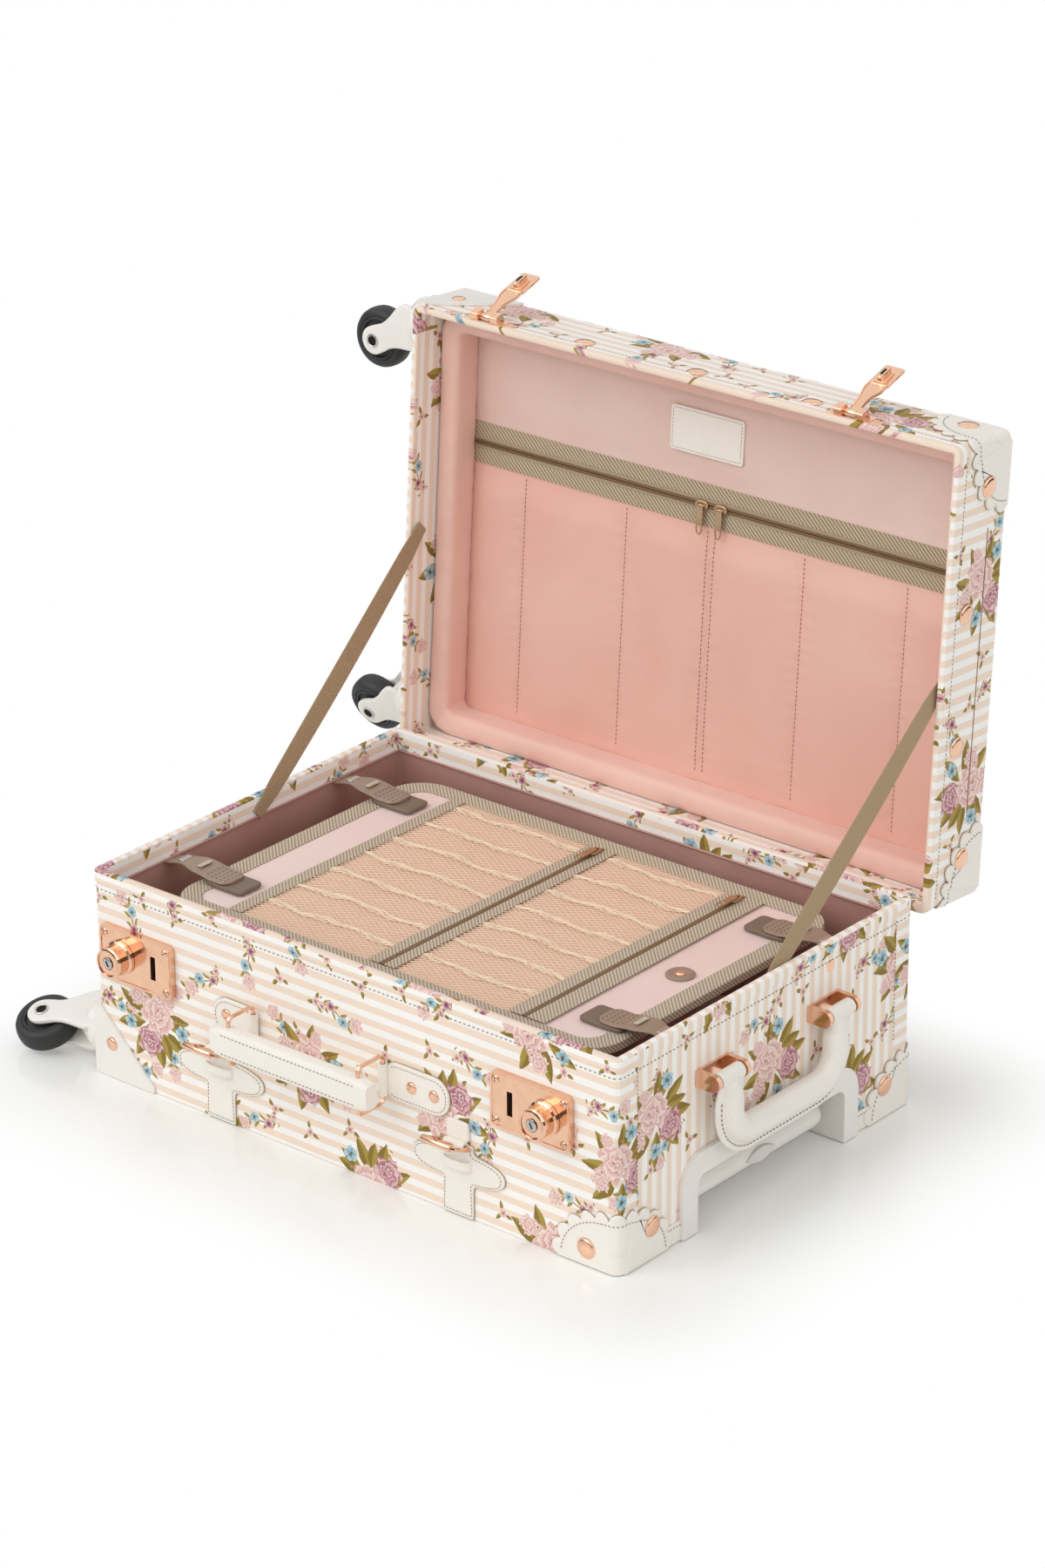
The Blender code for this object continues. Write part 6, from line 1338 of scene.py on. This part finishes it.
HASP_PIN, EAR_LEVEL = (0.21042, 0.5104), 0.1545
hasp_open = math.radians(18)
hasp_along = np.array((0, math.cos(hasp_open), math.sin(hasp_open)))
hasp_up = np.array((0, -math.sin(hasp_open), math.cos(hasp_open)))
hasp_axes = np.stack((np.array((1.0, 0, 0)), hasp_along, hasp_up))
for label, hasp_x in HASPS.items():
    axis = np.array((hasp_x, *HASP_PIN))
    run = np.linspace(-2.0, 36.0, 40) * MM
    waist = np.sin(np.pi * np.clip(run / 0.020, 0, 1))
    half = 5.0 * MM - 0.8 * MM * waist + 3.2 * MM * smooth(run, 0.016, 0.030)
    rise = 1.6 * MM * smooth(run, 0.006, 0.020)
    arm_path = axis + run[:, None] * hasp_along + rise[:, None] * hasp_up
    parts = [ribbon(arm_path, half, 1.1 * MM, 6, 20, (1, 0, 0), hasp_up)]
    lug_seat = axis + 0.0430 * hasp_along
    parts.append(slab(8.4, 11.5, 2, 2.4, 0.6, axis + 0.0455 * hasp_along + 0.6 * MM * hasp_up, hasp_axes))
    parts.append(slab(4.4, 7.4, 1.4, 1.6, 0.4, lug_seat + 2.6 * MM * hasp_up, hasp_axes))
    parts.append(slab(2.1, 6.6, 1.2, 5.4, 0.6, lug_seat + 2.8 * MM * hasp_up, hasp_axes))
    parts.append(bar(axis - (5.2 * MM, 0, 0), axis + (5.2 * MM, 0, 0), 3.2 * MM, 20))
    for side in (-1, 1):
        aside = (side * (half[8:] - 0.6 * MM))[:, None] * np.array((1.0, 0, 0))
        edge_path = arm_path[8:] + aside + 0.5 * MM * hasp_up
        parts.append(sweep(edge_path, oval(0.6 * MM, 1.2 * MM, 4, 12), (1, 0, 0), hasp_up))
    node = f"hasp_{label}"
    piece(f"{node}_arm_and_lug", joined(*parts), copper, node, (node,))
    # Dark plate on the lug: painted shade in its slot.
    slit = slab(1.1, 3.6, 0.6, 0.4, 0.1, lug_seat + 7.95 * MM * hasp_up, hasp_axes)
    piece(f"{node}_lug_slot", slit, black_steel_and_slot_shade, node)
    blocks = [sweep(axis + np.linspace(6.2, 13.0, 6)[:, None] * MM * np.array((side, 0, 0)),
                    oval(4.3 * MM, 4.3 * MM, 6, 24), hasp_along, hasp_up) for side in (-1, 1)]
    piece(f"lid_{node}_knuckles", joined(*blocks), copper, "lid")
    ear = turned([(0, 0), (6.0, 0), (6.0, 0.9), (5.4, 1.4), (0, 1.5)], 28)
    ears = []
    for part, aside, out in ((ear, 0.0185, 0.2 * MM), (screw_head, 0.0195, 1.5 * MM)):
        seats = [(hasp_x + side * aside, -LID_SIDE - out, EAR_LEVEL) for side in (-1, 1)]
        ears.append(copies(part, seats, FACING_FRONT))
    piece(f"lid_{node}_ears", lifted(joined(*ears)), copper, "lid")

stud, housing_stud = rivet(8.2, 2.2), rivet(5.4, 1.6)
lid_studs = [copies(stud, [(x, -LID_SIDE - 0.2 * MM, 0.162) for x in (-0.100, 0.007, 0.113)], FACING_FRONT)]
tray_studs, end_studs, lid_housing = [], [], []
for side in (-1, 1):
    facing_end, facing_side = frame_of((side, 0, 0), (0, 1, 0)), frame_of((0, side, 0), (1, 0, 0))
    seats = [(side * (LID_END + 0.2 * MM), y, 0.169) for y in (-0.049, 0.053)]
    lid_studs.append(copies(stud, seats, facing_end))
    tray_studs.append(copies(housing_stud, (-0.2345, side * 0.1749, 0.0285), facing_side))
    end_studs.append(copies(rivet(5.0, 0.7), (side * BASE_END, 0.0715, 0.1495), facing_end))
    lid_housing.append(copies(housing_stud, (-0.240, side * 0.1804, LID_TOP - 0.0285), facing_side))
piece("lid_wall_studs", lifted(joined(*lid_studs)), copper, "lid")
piece("tray_wall_studs", joined(*tray_studs, *end_studs), copper, "tray")
piece("lid_housing_studs", lifted(joined(*lid_housing)), copper, "lid")

buckle_turn = math.radians(25)
buckle_out = np.array((0, -math.cos(buckle_turn), math.sin(buckle_turn)))
buckle_up = np.array((0, -math.sin(buckle_turn), -math.cos(buckle_turn)))
for label, centre in BELTS:
    axis = np.array((centre, *BUCKLE_PIN))
    far = axis + 0.0230 * buckle_out
    roller = bar(far - (0.0135, 0, 0), far + (0.0135, 0, 0), 2.9 * MM, 20)
    prong_path = axis + np.linspace(0.0045, 0.0262, 14)[:, None] * buckle_out
    prong_path = prong_path - np.sin(np.linspace(0, np.pi, 14))[:, None] * 1.6 * MM * buckle_up
    prong_path[-3:] -= np.array((1.6, 2.6, 3.0))[:, None] * MM * buckle_up
    prong = sweep(prong_path, oval(1.5 * MM, 0.8 * MM, 2.5, 10), (1, 0, 0), -buckle_up)
    buckle = joined(roller, prong)
    piece(f"buckle_{label}_roller_and_prong", buckle, copper, f"buckle_{label}")


JOINTS = {joint["name"]: joint for joint in frame["joints"]}


def tyre(centre, axis):
    """Wheel: a turned rubber tyre with a round tread, a grooved shoulder and a hollow side."""
    outer = [(2.6, 8.2), (8.0, 8.2), (9.2, 6.6), (14.6, 6.6), (15.4, 8.6), (17.0, 9.0), (17.8, 8.2),
             (18.6, 8.8), (20.6, 8.7), (22.6, 7.4), (23.9, 5.0), (24.4, 1.8)]
    ring = turned(outer + [(r, -h) for r, h in reversed(outer)], 56, True)
    axis = unit(axis)
    side = unit(np.cross(axis, (0.9, 0.3, 0.2)))
    return copies(ring, centre, np.stack((side, np.cross(axis, side), axis)))


def neck(start, stop, start_radius, stop_radius):
    """Outline of two circles joined by a waisted neck, in the plane of the fork's arm."""
    start, stop = np.asarray(start, float), np.asarray(stop, float)
    along = unit(stop - start)
    side = np.array((-along[1], along[0]))
    share = np.linspace(0, 1, 20)
    wide = start_radius + (stop_radius - start_radius) * smooth(share, 0, 0.75)
    wide = (wide - 1.8 * MM * np.sin(np.pi * share) ** 2)[:, None]
    middle = start + share[:, None] * (stop - start)
    tip = np.linspace(np.pi / 2, -np.pi / 2, 13)
    head = stop + stop_radius * (np.cos(tip)[:, None] * along + np.sin(tip)[:, None] * side)
    tail = start - start_radius * (0.6 * np.cos(tip)[:, None] * along + np.sin(tip)[:, None] * side)
    one, other = middle + wide * side, middle - wide * side
    return np.concatenate((one[1:-1], head, other[::-1][1:-1], tail))


def fork(swivel, centre, axis):
    """Caster fork: a turned disc at the swivel, a crown and two waisted arms with a bolt head at each eye."""
    swivel, centre, axis = (np.asarray(value, float) for value in (swivel, centre, axis))
    axis = unit(axis)
    out = np.array((-1.0, 0, 0))
    trail = unit(np.cross(axis, out))
    disc = turned([(0, 0.3), (18.6, 0.3), (19.0, 1.2), (19.0, 5.2), (17.6, 7.2), (9, 8.0), (0, 8.0)], 44)
    parts = [copies(disc, swivel, np.stack((axis, np.cross(out, axis), out)))]
    offset = centre - swivel
    eye = np.array((offset @ out, offset @ trail))
    outline = neck((8.5 * MM, eye[1] * 0.1), eye, 18.5 * MM, 11.2 * MM)
    middle = outline.mean(0)
    arm = plate(outline - middle, 3.9 * MM, 1.0 * MM, 0.5 * MM)
    head = turned([(0, 0), (4.6, 0), (4.6, 0.5), (3.4, 0.9), (3.0, 0.3), (0, 0.3)], 24)
    washer = turned([(3.9, 0), (5.6, 0), (5.4, 1.0), (4.4, 1.3), (3.9, 0.9)], 28, True)
    bolts, washers = [], []
    for normal in (-axis, axis):
        seat = swivel + middle[0] * out + middle[1] * trail + normal * 10.2 * MM
        parts.append(copies(arm, seat, np.stack((out, trail, normal))))
        bolts.append(copies(head, centre + normal * 14.3 * MM, frame_of(normal, out)))
        washers.append(copies(washer, centre + normal * 14.2 * MM, frame_of(normal, out)))
    crown_path = swivel + np.linspace(5.0, 19.5, 8)[:, None] * MM * out + trail * eye[1] * 0.12
    size = np.stack((np.linspace(1.0, 0.93, 8), np.linspace(1, 0.55, 8)), -1)
    crown = sweep(crown_path, oval(13.9 * MM, 16.5 * MM, 3.2, 28)[None] * size[:, None], axis, trail)
    return joined(*parts, crown), joined(*bolts), joined(*washers)


for cover in ("base", "lid"):
    for label in ("front", "rear"):
        caster, node, body = f"{cover}_{label}", f"{cover}_caster_{label}", f"{cover}_fork_{label}"
        swivel, spun = JOINTS[f"{node}_swivel"]["pos_m"], JOINTS[f"{cover}_wheel_{label}_spin"]
        wheel = tyre(spun["pos_m"], spun["axis"])
        piece(f"{caster}_tyre", wheel, tyre_rubber, f"{cover}_wheel_{label}",
              (f"{node}_wheel",), crease=35)
        white, bolts, washers = fork(swivel, spun["pos_m"], spun["axis"])
        piece(f"{caster}_fork_arms", white, white_abs, body, (f"{node}_fork",), crease=50)
        piece(f"{caster}_fork_bolts", bolts, black_steel_and_slot_shade, body)
        piece(f"{caster}_fork_washers", washers, steel, body)


# Straps: divider clips and lid stays.

CLIP_WALL, CLIP_END = 0.2440, 0.1765


def clip_level(share):
    """Level of a clip's strap from the wall (0) to its end (1): a bow over the first part, then a step up."""
    bow = np.sin(np.pi * np.clip(share / 0.75, 0, 1))
    return 0.1495 + 5.2 * MM * bow + 2.2 * MM * smooth(share, 0.45, 0.8)


dimple = turned([(0, 0), (1.1, 0), (0.9, 0.25), (0, 0.3)], 8)
run = np.linspace(0, 1, 36)
clip_half = 8.0 * MM + 4.6 * MM * smooth(run, 0.22, 0.5)
clip_half = clip_half * np.sqrt(np.clip(1 - np.clip((run - 0.9) / 0.115, 0, 1) ** 2, 0.02, 1))
for side, left_right in ((-1, "left"), (1, "right")):
    for middle_y, front_rear in ((-0.095, "front"), (0.095, "rear")):
        node = f"divider_clip_{left_right}_{front_rear}"
        foot = slab(18.5, 12.5, 4, 3.0, 0.8, (side * 0.1800, middle_y, 0.1474))
        piece(f"{node}_foot", foot, dark_taupe, "divider")
        x = CLIP_WALL - (CLIP_WALL - CLIP_END) * run
        path = np.stack((side * x, np.full_like(x, middle_y), clip_level(run)), -1)
        paddle = ribbon(path, clip_half, 1.1 * MM, 4, 18, (0, 1, 0), (0, 0, 1))
        made = piece(f"{node}_moulding", paddle, taupe_nylon, None, (node,))
        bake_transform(made)
        x, y = np.meshgrid(np.linspace(0.1805, 0.1985, 5), np.linspace(-8, 8, 5) * MM, indexing="ij")
        top = clip_level((CLIP_WALL - x) / (CLIP_WALL - CLIP_END)) + 1.05 * MM
        dimples = copies(dimple, np.stack((side * x, middle_y + y, top), -1).reshape(-1, 3), FLAT)
        piece(f"{node}_dimples", dimples, dark_taupe, "divider")
        strip = slab(2.0, 6.5, 0.6, 0.8, 0.2, (side * 0.2085, middle_y, 0.1561))
        piece(f"{node}_strap_bar", strip, pale_elastic, "divider")
        tip = slab(2.6, 5.5, 1, 1.0, 0.3, (side * 0.2285, middle_y, 0.1548))
        piece(f"{node}_metal_tip", tip, steel, "divider")

STAY_TURN = np.linspace(0, 1, 60)
for label, side in (("left", -1), ("right", 1)):
    low = np.array((side * 0.2425, 0.0, 0.1535))
    high = opened((side * 0.2488, 0.0, 0.157))
    sag = np.sin(np.pi * STAY_TURN)[:, None] * np.array((0, 0, -2.5 * MM))
    path = low + STAY_TURN[:, None] * (high - low) + sag
    along = unit(high - low)
    tilt = np.radians(16 * np.sin(np.pi * STAY_TURN))[:, None]
    flat = unit(np.cross(along, (1, 0, 0)))
    across = flat * np.cos(tilt) + np.array((1.0, 0, 0)) * np.sin(tilt)
    normal = np.cross(across, along)
    half = 8.0 * MM - 2.2 * MM * (smooth(STAY_TURN, 0.12, 0.0) + smooth(STAY_TURN, 0.9, 1.0))
    strap = ribbon(path, half, 0.6 * MM, 5, 16, across, normal)
    made = piece(f"lid_stay_{label}_ribbon", strap, webbing, None, (f"lid_stay_{label}",))
    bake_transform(made)

snap = turned([(0, 0), (11, 0), (11, 1.0), (9.5, 2.0), (6, 2.2), (4.6, 1.4), (0, 1.4)], 36)
snap = copies(snap, (0.172, -0.004, 0.1463), FLAT)
piece("divider_snap_ring", snap, taupe_nylon, "divider")
snap_centre = copies(rivet(4.2, 1.5), (0.172, -0.004, 0.1477), FLAT)
piece("divider_snap_centre", snap_centre, copper, "divider")


# Seams on the cloth.

points, normals = BASE_LOOP
ring = points + normals * 0.3 * MM
ring = np.concatenate((ring, ring[:1]))
spot, along = spaced(np.concatenate((ring, np.full((len(ring), 1), 0.1535)), -1), 4.2 * MM, 1.2 * MM)
seams = [copies(stitch(2.3, 0.42), spot, frame_of(np.cross(along, (0, 0, 1)), along))]
lid_seams = []
LID_SEAM = LID_RIM + 0.0105
for side in (-1, 1):
    x = side * (BASE_END + 0.3 * MM)
    for y in (-0.1515, 0.1515):
        seams.append(stitches(((x, y, 0.058), (x, y, 0.157)), (side, 0, 0), 3.3, 2.1, 0.3))
    x = side * (LID_END + 0.25 * MM)
    path = np.linspace((x, -0.110, LID_TOP - 0.020), (x, 0.110, LID_TOP - 0.020), 60)
    lid_seams.append(sweep(path, oval(0.35 * MM, 0.3 * MM, steps=6), (0, 0, 1), (side, 0, 0)))
    x = side * (LID_END + 0.3 * MM)
    lid_seams.append(stitches(((x, -0.170, LID_SEAM), (x, 0.170, LID_SEAM)), (side, 0, 0), 3.3, 2.1, 0.28))
y = -LID_SIDE - 0.3 * MM
lid_seams.append(stitches(((-0.248, y, LID_SEAM), (0.248, y, LID_SEAM)), (0, -1, 0), 3.3, 2.1, 0.28))
piece("tray_cloth_stitching", joined(*seams), brown_thread, "tray")
piece("lid_cloth_stitching", lifted(joined(*lid_seams)), brown_thread, "lid")


# Camera, floor and light.

def set_camera():
    """Camera of the photograph: turned 39.85 degrees, raised 23.84 degrees, 116 mm lens on the long side."""
    turn, rise, roll_angle = (math.radians(value) for value in (39.8525, 23.8371, -0.3306))
    back = np.array((math.sin(turn) * math.cos(rise), -math.cos(turn) * math.cos(rise), math.sin(rise)))
    right = np.array((math.cos(turn), math.sin(turn), 0))
    up = np.cross(back, right)
    cos, sin = math.cos(roll_angle), math.sin(roll_angle)
    right, up = right * cos + up * sin, up * cos - right * sin
    data = bpy.data.cameras.new("camera")
    data.lens, data.sensor_width, data.clip_end = 116.17, 36.0, 50.0
    made = bpy.data.objects.new("camera", data)
    spot = (2.17773, -2.58252, 1.73931)
    axes = np.stack((right, up, back), 1)
    made.matrix_world = Matrix([(*row, at) for row, at in zip(axes, spot)] + [(0, 0, 0, 1)])
    bpy.context.scene.collection.objects.link(made)
    bpy.context.scene.camera = made


def seen(tree):
    """1 for what the camera, a reflection or a look through a piece shows, and 0 for light on the case."""
    rays = add(tree, "LightPath", out=0)
    for output in (3, 6):
        rays = add(tree, "Math", {0: rays, 1: add(tree, "LightPath", out=output)}, operation="MAXIMUM")
    return rays


def studio_piece(name, points, faces, finish):
    """Object of the studio round the case."""
    mesh = bpy.data.meshes.new(name)
    mesh.from_pydata(points.tolist(), [], faces.tolist())
    mesh.materials.append(finish)
    made = bpy.data.objects.new(name, mesh)
    bpy.context.scene.collection.objects.link(made)
    return made


def set_stage():
    """White gloss floor that keeps the case's shadow and is plain white further out, and soft light."""
    paint, tree, place = new_tree("white_gloss_floor")
    past = add(tree, "VectorMath", {0: place}, operation="ABSOLUTE")
    past = add(tree, "VectorMath", {0: past, 1: (0.25, 0.17, 0)}, operation="SUBTRACT")
    past = add(tree, "VectorMath", {0: past, 1: (0, 0, 0)}, operation="MAXIMUM")
    far = add(tree, "VectorMath", {0: past}, 1, operation="LENGTH")
    fade = add(tree, "MapRange", {0: far, 1: 0.01, 2: 0.15}, interpolation_type="SMOOTHSTEP")
    grain = add(tree, "TexNoise", {"Vector": place, "Scale": 300.0})
    bump = add(tree, "Bump", {"Height": grain, "Distance": 0.00002})
    paper = add(tree, "BsdfPrincipled", {"Base Color": linear("#F8F9F6"), "Roughness": 0.16, "Normal": bump})
    white = add(tree, "Emission", {"Color": (1, 1, 1, 1), "Strength": 1.0})
    share = add(tree, "Math", {0: fade, 1: seen(tree)}, operation="MULTIPLY")
    mixed = add(tree, "MixShader", {0: share, 1: paper, 2: white})
    add(tree, "OutputMaterial", {"Surface": mixed})
    side = np.linspace(-6, 6, 3)
    x, y = np.meshgrid(side, side, indexing="ij")
    points, faces = shaped(np.stack((x, y, np.full_like(x, -0.4 * MM)), -1))
    studio_piece("floor", points, faces[:, ::-1], paint)
    paint, tree, place = new_tree("dark_studio_wall")
    spot = add(tree, "TexNoise", {"Vector": place, "Scale": 2.0})
    matt = add(tree, "BsdfDiffuse", {"Color": linear("#4A3A32"), "Roughness": spot})
    add(tree, "OutputMaterial", {"Surface": matt})
    angle = np.linspace(0, 2 * np.pi, 48, endpoint=False)
    ring = np.stack((4 * np.cos(angle), 4 * np.sin(angle)), -1)
    rows = [np.concatenate((ring, np.full((48, 1), level)), -1) for level in (0.05, 1.15)]
    wall = studio_piece("studio_wall", *shaped(np.stack(rows), False, True), paint)
    wall.visible_camera = wall.visible_diffuse = wall.visible_shadow = wall.visible_transmission = False
    world = bpy.data.worlds.new("studio")
    world.use_nodes = True
    tree = world.node_tree
    tree.nodes.clear()
    strength = add(tree, "MapRange", {0: seen(tree), 3: 0.56, 4: 1.0})
    sky = add(tree, "Background", {"Color": (1, 1, 1, 1), "Strength": strength})
    add(tree, "OutputWorld", {"Surface": sky})
    bpy.context.scene.world = world
    for name, power, spread, turn in (("key", 1.12, 50, (50, 0, -25)), ("fill", 0.66, 80, (55, 0, 70))):
        data = bpy.data.lights.new(name, "SUN")
        data.energy, data.angle = power, math.radians(spread)
        lamp = bpy.data.objects.new(name, data)
        lamp.rotation_euler = [math.radians(value) for value in turn]
        bpy.context.scene.collection.objects.link(lamp)


set_camera()
set_stage()
bpy.context.scene.view_settings.view_transform = "Standard"
bpy.context.view_layer.update()
